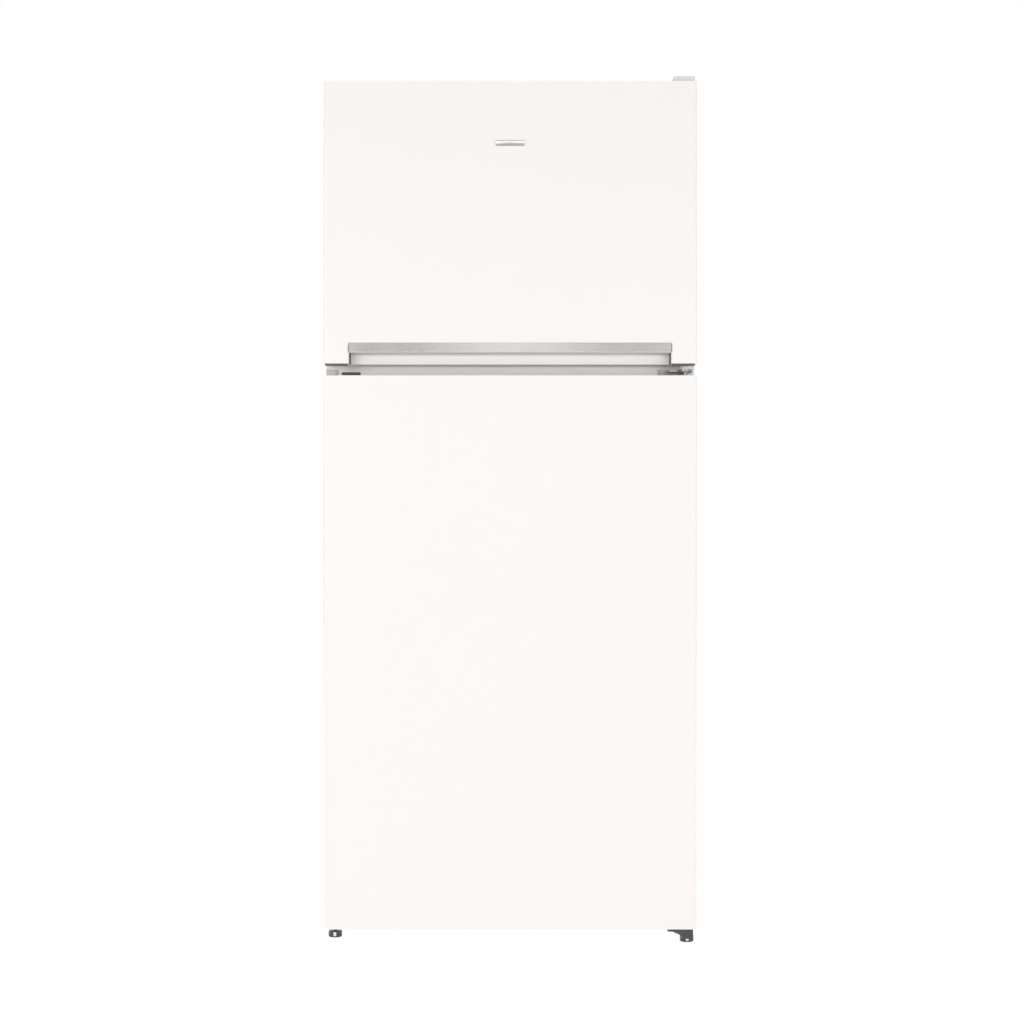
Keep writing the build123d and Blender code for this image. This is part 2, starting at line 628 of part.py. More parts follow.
with BuildPart() as compressor_base:
    block((-PAN_HALF, PAN_HALF), BASE_Y, BASE_Z)
    # Folded front and rear edges.
    block((-PAN_HALF, PAN_HALF), (BASE_Y[0], BASE_Y[0] + 2), (BASE_Z[0], BASE_Z[1] + 12))
    block((-PAN_HALF, PAN_HALF), (BASE_Y[1] - 2, BASE_Y[1]), (BASE_Z[0] - 8, BASE_Z[1]))
    # Cheeks that hold the roller axles.
    for side in (-1, 1):
        for offset_x in (-CHEEK_GAP - CHEEK, CHEEK_GAP):
            inner = side * ROLLER_CENTRE[0] + offset_x
            with BuildSketch(Plane.YZ.offset(inner)) as cheek:
                with Locations((ROLLER_CENTRE[1], (BASE_Z[0] + 7) / 2)):
                    Rectangle(24, BASE_Z[0] - 5)
                fillet(cheek.vertices().sort_by(Axis.Y)[:2], radius=9)
                with Locations((ROLLER_CENTRE[1], ROLLER_RADIUS)):
                    Circle(AXLE_RADIUS + FIT, mode=Mode.SUBTRACT)
            extrude(cheek.sketch, amount=CHEEK)
    # Upright tab that takes the cord gland.
    with BuildSketch(Plane.XZ.offset(-TAB_Y[0])) as tab:
        with Locations((GLAND[0], (BASE_Z[0] + GLAND[1] + 16) / 2)):
            Rectangle(36, GLAND[1] + 16 - BASE_Z[0])
        fillet(tab.vertices().sort_by(Axis.Y)[-2:], radius=10)
        with Locations(GLAND):
            Circle(6, mode=Mode.SUBTRACT)
    extrude(tab.sketch, amount=TAB_Y[0] - TAB_Y[1])
    # Cooling slots between the compressor feet.
    for slot in range(5):
        with BuildSketch(Plane.XY.offset(BASE_Z[0])) as vent:
            with Locations((COMPRESSOR_CENTRE[0] + (slot - 2) * 22, COMPRESSOR_CENTRE[1])):
                SlotOverall(70, 8, rotation=90)
        extrude(vent.sketch, amount=CHEEK, mode=Mode.SUBTRACT)
compressor_base.part.label = "compressor_base"
export_step(compressor_base.part, "parts/compressor_base.step")

for name, side in (("roller_left", -1), ("roller_right", 1)):
    with BuildPart() as roller:
        centre_x = side * ROLLER_CENTRE[0]
        axle_end = CHEEK_GAP + CHEEK + 1
        rod_x(
            ROLLER_CENTRE[1],
            ROLLER_RADIUS,
            (centre_x - ROLLER_HALF, centre_x + ROLLER_HALF),
            ROLLER_RADIUS,
        )
        fillet(roller.edges().filter_by(GeomType.CIRCLE), radius=1.5)
        rod_x(
            ROLLER_CENTRE[1],
            ROLLER_RADIUS,
            (centre_x - axle_end, centre_x + axle_end),
            AXLE_RADIUS,
        )
        rod_x(
            ROLLER_CENTRE[1],
            ROLLER_RADIUS,
            (centre_x - CHEEK_GAP + 0.4, centre_x + CHEEK_GAP - 0.4),
            AXLE_RADIUS + 2,
        )
    roller.part.label = name
    export_step(roller.part, f"parts/{name}.step")

SHELL_Z = (62, 222)
SEAM_Z = 136
with BuildPart() as compressor:
    # Two drawn steel half shells, welded at a flange round the middle.
    with BuildSketch(Plane.XY.offset(SHELL_Z[0])) as plan:
        with Locations(COMPRESSOR_CENTRE):
            Ellipse(95, 68)
    extrude(plan.sketch, amount=SHELL_Z[1] - SHELL_Z[0])
    ends = compressor.edges().group_by(Axis.Z)
    fillet(ends[-1], radius=42)
    fillet(compressor.edges().group_by(Axis.Z)[0], radius=28)
    with BuildSketch(Plane.XY.offset(SEAM_Z)) as seam:
        with Locations(COMPRESSOR_CENTRE):
            Ellipse(99, 72)
    extrude(seam.sketch, amount=4)
    # Feet plates, relay box and tube stubs.
    foot_x, foot_y = MOUNT_OFFSETS
    block(
        (COMPRESSOR_CENTRE[0] - foot_x - 14, COMPRESSOR_CENTRE[0] + foot_x + 14),
        (COMPRESSOR_CENTRE[1] - foot_y - 12, COMPRESSOR_CENTRE[1] + foot_y + 12),
        (SHELL_Z[0] + 6, SHELL_Z[0] + 9),
    )
    block(
        (COMPRESSOR_CENTRE[0] - 128, COMPRESSOR_CENTRE[0] - 86),
        (COMPRESSOR_CENTRE[1] - 28, COMPRESSOR_CENTRE[1] + 28),
        (100, 165),
    )
    rod_y(COMPRESSOR_CENTRE[0] + 50, 112, (COMPRESSOR_CENTRE[1] + 40, 272), 4)
    rod_y(COMPRESSOR_CENTRE[0] + 20, 112, (COMPRESSOR_CENTRE[1] + 40, 272), 3)
compressor.part.label = "compressor"
export_step(compressor.part, "parts/compressor.step")

with BuildPart() as compressor_mounts:
    with BuildSketch(Plane.XY.offset(BASE_Z[1])) as pads:
        with Locations(COMPRESSOR_CENTRE):
            with GridLocations(2 * MOUNT_OFFSETS[0], 2 * MOUNT_OFFSETS[1], 2, 2):
                Circle(11)
    extrude(pads.sketch, amount=SHELL_Z[0] + 6 - BASE_Z[1])
    waist_z = (BASE_Z[1] + SHELL_Z[0] + 6) / 2
    with BuildSketch(Plane.XY.offset(waist_z - 3)) as waist:
        with Locations(COMPRESSOR_CENTRE):
            with GridLocations(2 * MOUNT_OFFSETS[0], 2 * MOUNT_OFFSETS[1], 2, 2):
                Circle(12)
                Circle(8, mode=Mode.SUBTRACT)
    extrude(waist.sketch, amount=6, mode=Mode.SUBTRACT)
compressor_mounts.part.label = "compressor_mounts"
export_step(compressor_mounts.part, "parts/compressor_mounts.step")

PAN_X = (-20, 190)
with BuildPart() as drain_pan:
    # Evaporating pan on top of the compressor.
    block(PAN_X, (COMPRESSOR_CENTRE[1] - 65, 280), (SHELL_Z[1] + GAP, 244))
    fillet(drain_pan.edges().filter_by(Axis.Z), radius=15)
    block(
        (PAN_X[0] + WALL, PAN_X[1] - WALL),
        (COMPRESSOR_CENTRE[1] - 65 + WALL, 280 - WALL),
        (SHELL_Z[1] + WALL + GAP, 244),
        mode=Mode.SUBTRACT,
    )
drain_pan.part.label = "drain_pan"
export_step(drain_pan.part, "parts/drain_pan.step")

GLAND_Y = (282, 296)
with BuildPart() as cord_gland:
    rod_y(*GLAND, (TAB_Y[1], GLAND_Y[1]), 9)
    rod_y(*GLAND, (GLAND_Y[0], TAB_Y[1]), 6)
    rod_y(*GLAND, (GLAND_Y[0], TAB_Y[0]), 7.5)
    rod_y(*GLAND, GLAND_Y, GLAND_BORE, mode=Mode.SUBTRACT)
cord_gland.part.label = "cord_gland"
export_step(cord_gland.part, "parts/cord_gland.step")

# ------------------------------------------------------------------ condenser and pipes
TUBE_RADIUS = 2.5
CONDENSER_Y = 313
CONDENSER_HALF = 270
CONDENSER_Z = (380, 1460)
CONDENSER_RUNS = 19
WIRE_RADIUS = 0.75
WIRE_PITCH = 22

run_pitch = (CONDENSER_Z[1] - CONDENSER_Z[0]) / (CONDENSER_RUNS - 1)
with BuildPart() as condenser_tube:
    # A serpentine: level runs joined by half-circle bends at alternate ends.
    with BuildLine(Plane.XZ.offset(-CONDENSER_Y)) as serpentine:
        for run in range(CONDENSER_RUNS):
            z = CONDENSER_Z[0] + run * run_pitch
            side = 1 if run % 2 == 0 else -1
            Line((-side * CONDENSER_HALF, z), (side * CONDENSER_HALF, z))
            if run < CONDENSER_RUNS - 1:
                bend = (side * (CONDENSER_HALF + run_pitch / 2), z + run_pitch / 2)
                ThreePointArc(
                    (side * CONDENSER_HALF, z), bend, (side * CONDENSER_HALF, z + run_pitch)
                )
    with BuildSketch(Plane(origin=(-CONDENSER_HALF, CONDENSER_Y, CONDENSER_Z[0]), z_dir=(1, 0, 0))):
        Circle(TUBE_RADIUS)
    sweep(path=serpentine.wire())
    # Brackets that hold the coil off the back panel.
    for side, first_run, last_run in ((1, 0, CONDENSER_RUNS - 3), (-1, 1, CONDENSER_RUNS - 2)):
        for held_run in (first_run, last_run):
            bracket_z = CONDENSER_Z[0] + (held_run + 0.5) * run_pitch
            block(
                (side * 280 - 6, side * 280 + 6),
                (Y_BACK, CONDENSER_Y),
                (bracket_z - run_pitch / 2 - 1, bracket_z + run_pitch / 2 + 1),
            )
condenser_tube.part.label = "condenser_tube"
export_step(condenser_tube.part, "parts/condenser_tube.step")

wire_count = int(2 * CONDENSER_HALF / WIRE_PITCH)
with BuildPart() as condenser_wires:
    for wire in range(wire_count):
        wire_x = (wire - (wire_count - 1) / 2) * WIRE_PITCH
        for offset_y in (-TUBE_RADIUS - WIRE_RADIUS, TUBE_RADIUS + WIRE_RADIUS):
            span = (CONDENSER_Z[0] - 12, CONDENSER_Z[1] + 12)
            rod_z(wire_x, CONDENSER_Y + offset_y, span, WIRE_RADIUS)
condenser_wires.part.label = "condenser_wires"
export_step(condenser_wires.part, "parts/condenser_wires.step")

SPACER_X = 150
with BuildPart() as wall_spacers:
    for side in (-1, 1):
        for spacer_z in (290, 1560):
            with BuildSketch(Plane.XZ.offset(-Y_BACK)) as base:
                with Locations((side * SPACER_X, spacer_z)):
                    RectangleRounded(60, 34, 8)
            extrude(base.sketch, amount=-SPACER_REACH, taper=12)
wall_spacers.part.label = "wall_spacers"
export_step(wall_spacers.part, "parts/wall_spacers.step")

PANEL_ENTRY_Z = 340
DRIER_X = 318
DRIER_Z = (210, 300)
DRIER_RADIUS = 8
CAPILLARY_X = 246
CAPILLARY_RADIUS = 1.2
with BuildPart() as refrigerant_pipes:
    # Discharge pipe from the compressor up to the condenser's lower end.
    stub_x = COMPRESSOR_CENTRE[0] + 20
    with BuildLine() as discharge:
        FilletPolyline(
            (stub_x, 272.5, 112),
            (stub_x, 292, 112),
            (-230, 292, 112),
            (-230, CONDENSER_Y, 180),
            (-230, CONDENSER_Y, 300),
            (-CONDENSER_HALF - 30, CONDENSER_Y, 320),
            (-CONDENSER_HALF - 30, CONDENSER_Y, CONDENSER_Z[0]),
            (-CONDENSER_HALF - GAP, CONDENSER_Y, CONDENSER_Z[0]),
            radius=10,
        )
    with BuildSketch(Plane(origin=(stub_x, 272.5, 112), z_dir=(0, 1, 0))):
        Circle(TUBE_RADIUS)
    sweep(path=discharge.wire())
    # Suction pipe, coming through the back panel from the evaporator.
    suction_x = COMPRESSOR_CENTRE[0] + 50
    with BuildLine() as suction:
        FilletPolyline(
            (suction_x, 272.5, 112),
            (suction_x, 292, 112),
            (230, 292, 112),
            (230, CONDENSER_Y, 180),
            (230, CONDENSER_Y, PANEL_ENTRY_Z),
            (230, Y_BACK + GAP, PANEL_ENTRY_Z),
            radius=7,
        )
    with BuildSketch(Plane(origin=(suction_x, 272.5, 112), z_dir=(0, 1, 0))):
        Circle(TUBE_RADIUS + 1)
    sweep(path=suction.wire())
    # Liquid pipe from the condenser's upper end, down to the filter drier.
    with BuildLine() as liquid:
        FilletPolyline(
            (CONDENSER_HALF + GAP, CONDENSER_Y, CONDENSER_Z[1]),
            (DRIER_X, CONDENSER_Y, CONDENSER_Z[1]),
            (DRIER_X, CONDENSER_Y, DRIER_Z[1] - 1),
            radius=10,
        )
    liquid_start = (CONDENSER_HALF + GAP, CONDENSER_Y, CONDENSER_Z[1])
    with BuildSketch(Plane(origin=liquid_start, z_dir=(1, 0, 0))):
        Circle(TUBE_RADIUS)
    sweep(path=liquid.wire())
    rod_z(DRIER_X, CONDENSER_Y, DRIER_Z, DRIER_RADIUS)
    # Capillary, from the drier back up beside the suction pipe.
    with BuildLine() as capillary:
        FilletPolyline(
            (DRIER_X, CONDENSER_Y, DRIER_Z[0] + 1),
            (DRIER_X, CONDENSER_Y, 170),
            (CAPILLARY_X, CONDENSER_Y, 170),
            (CAPILLARY_X, CONDENSER_Y, PANEL_ENTRY_Z),
            (CAPILLARY_X, Y_BACK + GAP, PANEL_ENTRY_Z),
            radius=7,
        )
    with BuildSketch(Plane.XY.offset(DRIER_Z[0] + 1)):
        with Locations((DRIER_X, CONDENSER_Y)):
            Circle(CAPILLARY_RADIUS)
    sweep(path=capillary.wire())
refrigerant_pipes.part.label = "refrigerant_pipes"
export_step(refrigerant_pipes.part, "parts/refrigerant_pipes.step")

# ------------------------------------------------------------------ hinges and feet
TOP_PLATE_Z = (CABINET_TOP, CABINET_TOP + 3.5)
MIDDLE_PLATE_Z = (1078, 1082)
BOTTOM_PLATE_Z = (25, CABINET_UNDERSIDE)
FOOT_RADIUS = 13
RIGHT_FOOT = (335, -292)
LEFT_FOOT = (-335, -248)
STUD_RADIUS = 4


def hinge_arm(z, y_back, x_left):
    """A flat hinge arm with a round nose at the pivot, reaching back to y_back."""
    with BuildSketch(Plane.XY.offset(z[0])) as arm:
        with Locations(PIVOT):
            Circle(14)
        with Locations(((x_left + PIVOT[0] + 14) / 2, (PIVOT[1] + y_back) / 2)):
            Rectangle(PIVOT[0] + 14 - x_left, y_back - PIVOT[1])
    extrude(arm.sketch, amount=z[1] - z[0])


with BuildPart() as top_hinge:
    hinge_arm(TOP_PLATE_Z, -228, 312)
    rod_z(*PIVOT, (FREEZER_DOOR[1] - PIN_DEPTH, TOP_PLATE_Z[0] + 1), PIN_RADIUS)
top_hinge.part.label = "top_hinge"
export_step(top_hinge.part, "parts/top_hinge.step")

COVER_X = (307, 348)
COVER_SPAN_Y = (-334, -220)
COVER_TOP = 1636
with BuildPart() as top_hinge_cover:
    block(COVER_X, COVER_SPAN_Y, (CABINET_TOP, COVER_TOP))
    fillet(top_hinge_cover.edges().filter_by(Axis.Z), radius=6)
    fillet(top_hinge_cover.faces().sort_by(Axis.Z)[-1].edges(), radius=4)
    block(
        (COVER_X[0] + 1.5, COVER_X[1] - 1.5),
        (COVER_SPAN_Y[0] + 1.5, COVER_SPAN_Y[1] - 1.5),
        (CABINET_TOP, COVER_TOP - 1.5),
        mode=Mode.SUBTRACT,
    )
top_hinge_cover.part.label = "top_hinge_cover"
export_step(top_hinge_cover.part, "parts/top_hinge_cover.step")

MIDDLE_FLANGE_X = (281, 331)
MIDDLE_FLANGE_Z = (1074, 1084)
MIDDLE_SCREW_Z = sum(MIDDLE_FLANGE_Z) / 2
MIDDLE_SCREWS_X = (290, 314)
with BuildPart() as middle_hinge:
    hinge_arm(MIDDLE_PLATE_Z, Y_FACE - GAP, 300)
    block(MIDDLE_FLANGE_X, (Y_FACE - 3, Y_FACE), MIDDLE_FLANGE_Z)
    rod_z(*PIVOT, (FRIDGE_DOOR[1] - PIN_DEPTH, FREEZER_DOOR[0] + PIN_DEPTH), PIN_RADIUS)
    for screw_x in MIDDLE_SCREWS_X:
        rod_y(screw_x, MIDDLE_SCREW_Z, (Y_FACE - 3, Y_FACE), 2.5, mode=Mode.SUBTRACT)
middle_hinge.part.label = "middle_hinge"
export_step(middle_hinge.part, "parts/middle_hinge.step")

with BuildPart() as bottom_brackets:
    # Right: arm, pin and a flange folded down in front, notched round the foot.
    hinge_arm(BOTTOM_PLATE_Z, -215, 300)
    with BuildSketch(Plane.XZ.offset(-PIVOT[1] + 14)) as flange:
        with BuildLine():
            Polyline(
                (296, BOTTOM_PLATE_Z[1]),
                (344, BOTTOM_PLATE_Z[1]),
                (344, 12),
                (322, 12),
                (322, 18),
                close=True,
            )
        make_face()
    extrude(flange.sketch, amount=3)
    block((296, 344), (PIVOT[1] - 15, PIVOT[1]), BOTTOM_PLATE_Z)
    rod_z(*PIVOT, (BOTTOM_PLATE_Z[0], FRIDGE_DOOR[0] + PIN_DEPTH), PIN_RADIUS)
    rod_z(*RIGHT_FOOT, BOTTOM_PLATE_Z, STUD_RADIUS + FIT, mode=Mode.SUBTRACT)
    # Left: a plain plate over its foot.
    block((-348, -310), (-272, -215), BOTTOM_PLATE_Z)
    rod_z(*LEFT_FOOT, BOTTOM_PLATE_Z, STUD_RADIUS + FIT, mode=Mode.SUBTRACT)
bottom_brackets.part.label = "bottom_brackets"
export_step(bottom_brackets.part, "parts/bottom_brackets.step")

for name, centre in (("foot_left", LEFT_FOOT), ("foot_right", RIGHT_FOOT)):
    with BuildPart() as foot:
        rod_z(*centre, (0, 12), FOOT_RADIUS)
        fillet(foot.edges().filter_by(GeomType.CIRCLE), radius=1.5)
        with Locations((*centre, 0)):
            with PolarLocations(FOOT_RADIUS + 0.6, 12):
                Cylinder(
                    1.6, 8, align=(Align.CENTER, Align.CENTER, Align.MIN), mode=Mode.SUBTRACT
                )
        rod_z(*centre, (11, BOTTOM_PLATE_Z[1] - 0.5), STUD_RADIUS)
    foot.part.label = name
    export_step(foot.part, f"parts/{name}.step")


SCREW_HEAD = (5, 2.2)  # radius and height
SCREW_SHANK = (2.3, 9)  # radius and length


def screw(x, y, z, facing):
    """A pan-head screw with a cross recess, its head standing off x, y, z towards facing."""
    with BuildPart(Plane(origin=(x, y, z), z_dir=facing)) as one:
        Cylinder(*SCREW_HEAD, align=(Align.CENTER, Align.CENTER, Align.MIN))
        with Locations((0, 0, SCREW_HEAD[1])):
            Box(5, 1, 1.6, mode=Mode.SUBTRACT)
            Box(1, 5, 1.6, mode=Mode.SUBTRACT)
        Cylinder(*SCREW_SHANK, align=(Align.CENTER, Align.CENTER, Align.MAX))
    return one.part


screw_set = [
    screw(328, -262, TOP_PLATE_Z[1], (0, 0, 1)),
    screw(328, -240, TOP_PLATE_Z[1], (0, 0, 1)),
    screw(MIDDLE_SCREWS_X[0], Y_FACE - 3, MIDDLE_SCREW_Z, (0, -1, 0)),
    screw(MIDDLE_SCREWS_X[1], Y_FACE - 3, MIDDLE_SCREW_Z, (0, -1, 0)),
    screw(312, -255, BOTTOM_PLATE_Z[0], (0, 0, -1)),
    screw(332, -235, BOTTOM_PLATE_Z[0], (0, 0, -1)),
    screw(-322, -228, BOTTOM_PLATE_Z[0], (0, 0, -1)),
]
with BuildPart() as screws:
    for one_screw in screw_set:
        add(one_screw)
screws.part.label = "screws"
export_step(screws.part, "parts/screws.step")

# ------------------------------------------------------------------ doors
BUSH_RADIUS = 8
BUSH_FLANGE = 11
BOSS_RADIUS = 14
INSERT_INSET = SHEET + GAP
INSERT_BACK = Y_DOOR_BACK - WALL - SHEET - GAP
HEM = 10
BALCONY_WALL = 2.5
TROUGH_HALF = 300  # finger trough along the fridge door's top edge
TROUGH_Y = (-330, -300)
TROUGH_DEPTH = 12
INNER_GRIP = GRIP_HALF_WIDTH - WALL


def door_plan(z, inset=0, back=Y_DOOR_BACK):
    """A door seen from above at height z, front corners rounded, drawn in by inset."""
    with BuildSketch(Plane.XY.offset(z)) as plan:
        with Locations((0, (Y_FRONT + inset + back) / 2)):
            Rectangle(WIDTH - 2 * inset, back - Y_FRONT - inset)
        fillet(plan.vertices().sort_by(Axis.Y)[:2], radius=CORNER_RADIUS - inset)
    return plan.sketch


def frame(y, half_width, z, width, radius, mode=Mode.ADD):
    """A rounded rectangular ring facing the front, between the two Y faces in y."""
    height = z[1] - z[0]
    with BuildSketch(Plane.XZ.offset(-y[0])) as face:
        with Locations((0, (z[0] + z[1]) / 2)):
            RectangleRounded(2 * half_width, height, radius)
            RectangleRounded(
                2 * (half_width - width), height - 2 * width, radius * 0.6, mode=Mode.SUBTRACT
            )
    extrude(face.sketch, amount=y[0] - y[1], mode=mode)


def door_skin(door):
    """Painted sheet wrapped round a door's front and sides, its rear edges hemmed inwards."""
    z = (door[0] + DOOR_RIM, door[1] - DOOR_RIM)
    extrude(door_plan(z[0]), amount=z[1] - z[0])
    extrude(door_plan(z[0], inset=SHEET), amount=z[1] - z[0], mode=Mode.SUBTRACT)
    hem_y = (Y_DOOR_BACK - WALL - SHEET, Y_DOOR_BACK - WALL)
    for side in (-1, 1):
        x = sorted((side * (HALF_WIDTH - SHEET / 2), side * (HALF_WIDTH - SHEET - HEM)))
        block(x, hem_y, z)


def end_cap(edge, inward):
    """The cap at a door's edge height; inward is 1 when the door lies above it, -1 below."""
    rim_end = edge + inward * DOOR_RIM
    insert_end = rim_end + inward * CAP_INSERT
    extrude(door_plan(edge), amount=inward * DOOR_RIM)
    extrude(door_plan(rim_end, INSERT_INSET, INSERT_BACK), amount=inward * CAP_INSERT)
    extrude(
        door_plan(rim_end, INSERT_INSET + WALL, INSERT_BACK - WALL),
        amount=inward * CAP_INSERT,
        mode=Mode.SUBTRACT,
    )
    rod_z(*PIVOT, sorted((rim_end, insert_end)), BOSS_RADIUS)
    rod_z(*PIVOT, sorted((edge, insert_end)), BUSH_RADIUS + GAP / 2, mode=Mode.SUBTRACT)


def bush(edge, inward, flange):
    """A hinge bush at a door's edge height, with a flange of the given thickness outside it."""
    body_end = edge + inward * (DOOR_RIM + CAP_INSERT - GAP)
    flange_end = edge - inward * flange
    rod_z(*PIVOT, sorted((edge, body_end)), BUSH_RADIUS)
    rod_z(*PIVOT, sorted((edge, flange_end)), BUSH_FLANGE)
    rod_z(*PIVOT, sorted((body_end, flange_end)), PIN_RADIUS + FIT, mode=Mode.SUBTRACT)


def door_foam(door):
    """Foam that fills a door between its end caps."""
    z = (door[0] + DOOR_RIM + CAP_INSERT + GAP, door[1] - DOOR_RIM - CAP_INSERT - GAP)
    extrude(door_plan(z[0], INSERT_INSET, INSERT_BACK), amount=z[1] - z[0])


def door_liner(door, dike_z):
    """A door's inner panel with its raised border, still solid."""
    half = HALF_WIDTH - SHEET - GAP
    z = (door[0] + DOOR_RIM + GAP, door[1] - DOOR_RIM - GAP)
    block((-half, half), (Y_DOOR_BACK - WALL, Y_DOOR_BACK), z)
    frame((Y_DOOR_BACK - WALL / 2, DIKE_REACH), DIKE_HALF_WIDTH, dike_z, DIKE_WIDTH, 16)


def round_dike(part):
    """Rounds the dike's exposed edges."""
    crest = part.faces().sort_by(Axis.Y)[-1]
    fillet(crest.edges(), radius=5)


def hollow_dike(dike_z, balcony_floors):
    """Hollows the dike from the foam side and adds the balcony pegs to its inner faces."""
    frame(
        (Y_DOOR_BACK - WALL, DIKE_REACH - WALL),
        DIKE_HALF_WIDTH - WALL,
        (dike_z[0] + WALL, dike_z[1] - WALL),
        DIKE_WIDTH - 2 * WALL,
        14,
        mode=Mode.SUBTRACT,
    )
    inner = DIKE_HALF_WIDTH - DIKE_WIDTH
    for floor in balcony_floors:
        for side in (-1, 1):
            x = sorted((side * (inner + WALL / 2), side * (inner - 8)))
            block(x, (-280, -262), (floor - 8, floor - GAP))


def balcony(floor, height):
    """A door shelf: an open tray with rounded corners."""
    depth = BALCONY_SPAN[1] - BALCONY_SPAN[0]
    middle = (0, sum(BALCONY_SPAN) / 2)
    with BuildSketch(Plane.XY.offset(floor)) as plan:
        with Locations(middle):
            RectangleRounded(2 * BALCONY_HALF_WIDTH, depth, 14)
    extrude(plan.sketch, amount=height)
    with BuildSketch(Plane.XY.offset(floor + BALCONY_WALL)) as hollow:
        with Locations(middle):
            RectangleRounded(
                2 * (BALCONY_HALF_WIDTH - BALCONY_WALL), depth - 2 * BALCONY_WALL, 11.5
            )
    extrude(hollow.sketch, amount=height, mode=Mode.SUBTRACT)


FREEZER_DIKE = (1130, 1558)
FRIDGE_DIKE = (95, 1034)
FREEZER_GASKET = (1094, 1605)
FRIDGE_GASKET = (50, 1062)

with BuildPart() as freezer_door_skin:
    door_skin(FREEZER_DOOR)
    notch_z = (FREEZER_DOOR[0] - 20, GRIP_TOP)
    panel((Y_FRONT - 1, Y_FRONT + 2 * SHEET), GRIP_HALF_WIDTH, notch_z, 3, mode=Mode.SUBTRACT)
freezer_door_skin.part.label = "freezer_door_skin"
export_step(freezer_door_skin.part, "parts/freezer_door_skin.step")

with BuildPart() as freezer_door_top_cap:
    end_cap(FREEZER_DOOR[1], -1)
freezer_door_top_cap.part.label = "freezer_door_top_cap"
export_step(freezer_door_top_cap.part, "parts/freezer_door_top_cap.step")

CAP_FRONT = Y_FRONT + INSERT_INSET
LIP_FOOT = 1120  # lower edge of the pocket wall behind the handle strip
with BuildPart() as freezer_door_grip_cap:
    end_cap(FREEZER_DOOR[0], 1)
    # The finger pocket, open at the front and below, its front wall behind the strip.
    pocket_front = (-GRIP_HALF_WIDTH, GRIP_HALF_WIDTH)
    block(
        pocket_front,
        (Y_FRONT - 1, POCKET_BACK + WALL),
        (FREEZER_DOOR[0], FREEZER_DOOR[0] + 20),
        mode=Mode.SUBTRACT,
    )
    block(pocket_front, (CAP_FRONT, POCKET_BACK + WALL), (FREEZER_DOOR[0], POCKET_TOP + WALL))
    block(
        (-INNER_GRIP, INNER_GRIP),
        (CAP_FRONT + WALL, POCKET_BACK),
        (FREEZER_DOOR[0], POCKET_TOP),
        mode=Mode.SUBTRACT,
    )
    block(
        (-INNER_GRIP, INNER_GRIP),
        (CAP_FRONT, CAP_FRONT + WALL),
        (FREEZER_DOOR[0], LIP_FOOT),
        mode=Mode.SUBTRACT,
    )
freezer_door_grip_cap.part.label = "freezer_door_grip_cap"
export_step(freezer_door_grip_cap.part, "parts/freezer_door_grip_cap.step")

STRIP_BOTTOM = GRIP_TOP - STRIP_HEIGHT
STRIP_TOP = GRIP_TOP - 0.3
STRIP_BACK = Y_FRONT + 8
STRIP_SHEET = 1.1
with BuildPart() as handle_strip:
    # An extrusion with a rounded lower edge and a short return behind it.
    with BuildSketch(Plane.YZ) as profile:
        with Locations(((Y_FRONT + STRIP_BACK) / 2, (STRIP_BOTTOM + STRIP_TOP) / 2)):
            Rectangle(STRIP_BACK - Y_FRONT, STRIP_TOP - STRIP_BOTTOM)
        fillet(profile.vertices().sort_by(Axis.Y)[:2], radius=3)
        inner_span = (Y_FRONT + STRIP_SHEET, STRIP_BACK - STRIP_SHEET)
        with Locations((sum(inner_span) / 2, (STRIP_BOTTOM + STRIP_SHEET + STRIP_TOP) / 2)):
            Rectangle(
                inner_span[1] - inner_span[0],
                STRIP_TOP - STRIP_BOTTOM - STRIP_SHEET,
                mode=Mode.SUBTRACT,
            )
        with Locations((STRIP_BACK, STRIP_TOP)):
            Rectangle(4, 2 * (STRIP_TOP - STRIP_BOTTOM - 6), mode=Mode.SUBTRACT)
    extrude(amount=INNER_GRIP - 0.3, both=True)
handle_strip.part.label = "handle_strip"
export_step(handle_strip.part, "parts/handle_strip.step")

with BuildPart() as freezer_door_foam:
    door_foam(FREEZER_DOOR)
    pocket_span = (GRIP_HALF_WIDTH + GAP, POCKET_BACK + WALL + GAP, POCKET_TOP + WALL + GAP)
    block(
        (-pocket_span[0], pocket_span[0]),
        (Y_FRONT, pocket_span[1]),
        (FREEZER_DOOR[0], pocket_span[2]),
        mode=Mode.SUBTRACT,
    )
freezer_door_foam.part.label = "freezer_door_foam"
export_step(freezer_door_foam.part, "parts/freezer_door_foam.step")

with BuildPart() as freezer_door_liner:
    door_liner(FREEZER_DOOR, FREEZER_DIKE)
    round_dike(freezer_door_liner)
    hollow_dike(FREEZER_DIKE, FREEZER_BALCONIES)
freezer_door_liner.part.label = "freezer_door_liner"
export_step(freezer_door_liner.part, "parts/freezer_door_liner.step")

with BuildPart() as freezer_door_gasket:
    frame((Y_DOOR_BACK, Y_FACE - 0.3), GASKET_HALF_WIDTH, FREEZER_GASKET, GASKET_WIDTH, 12)
freezer_door_gasket.part.label = "freezer_door_gasket"
export_step(freezer_door_gasket.part, "parts/freezer_door_gasket.step")

with BuildPart() as freezer_door_bushes:
    bush(FREEZER_DOOR[1], -1, 1.5)
    bush(FREEZER_DOOR[0], 1, FREEZER_DOOR[0] - MIDDLE_PLATE_Z[1] - 0.3)
freezer_door_bushes.part.label = "freezer_door_bushes"
export_step(freezer_door_bushes.part, "parts/freezer_door_bushes.step")

with BuildPart() as freezer_balconies:
    for floor, height in FREEZER_BALCONIES.items():
        balcony(floor, height)
freezer_balconies.part.label = "freezer_balconies"
export_step(freezer_balconies.part, "parts/freezer_balconies.step")

BADGE_Z = 1504
with BuildPart() as badge:
    panel((Y_FRONT - 0.8, Y_FRONT), 29, (BADGE_Z - 6, BADGE_Z + 6), 3)
badge.part.label = "badge"
export_step(badge.part, "parts/badge.step")

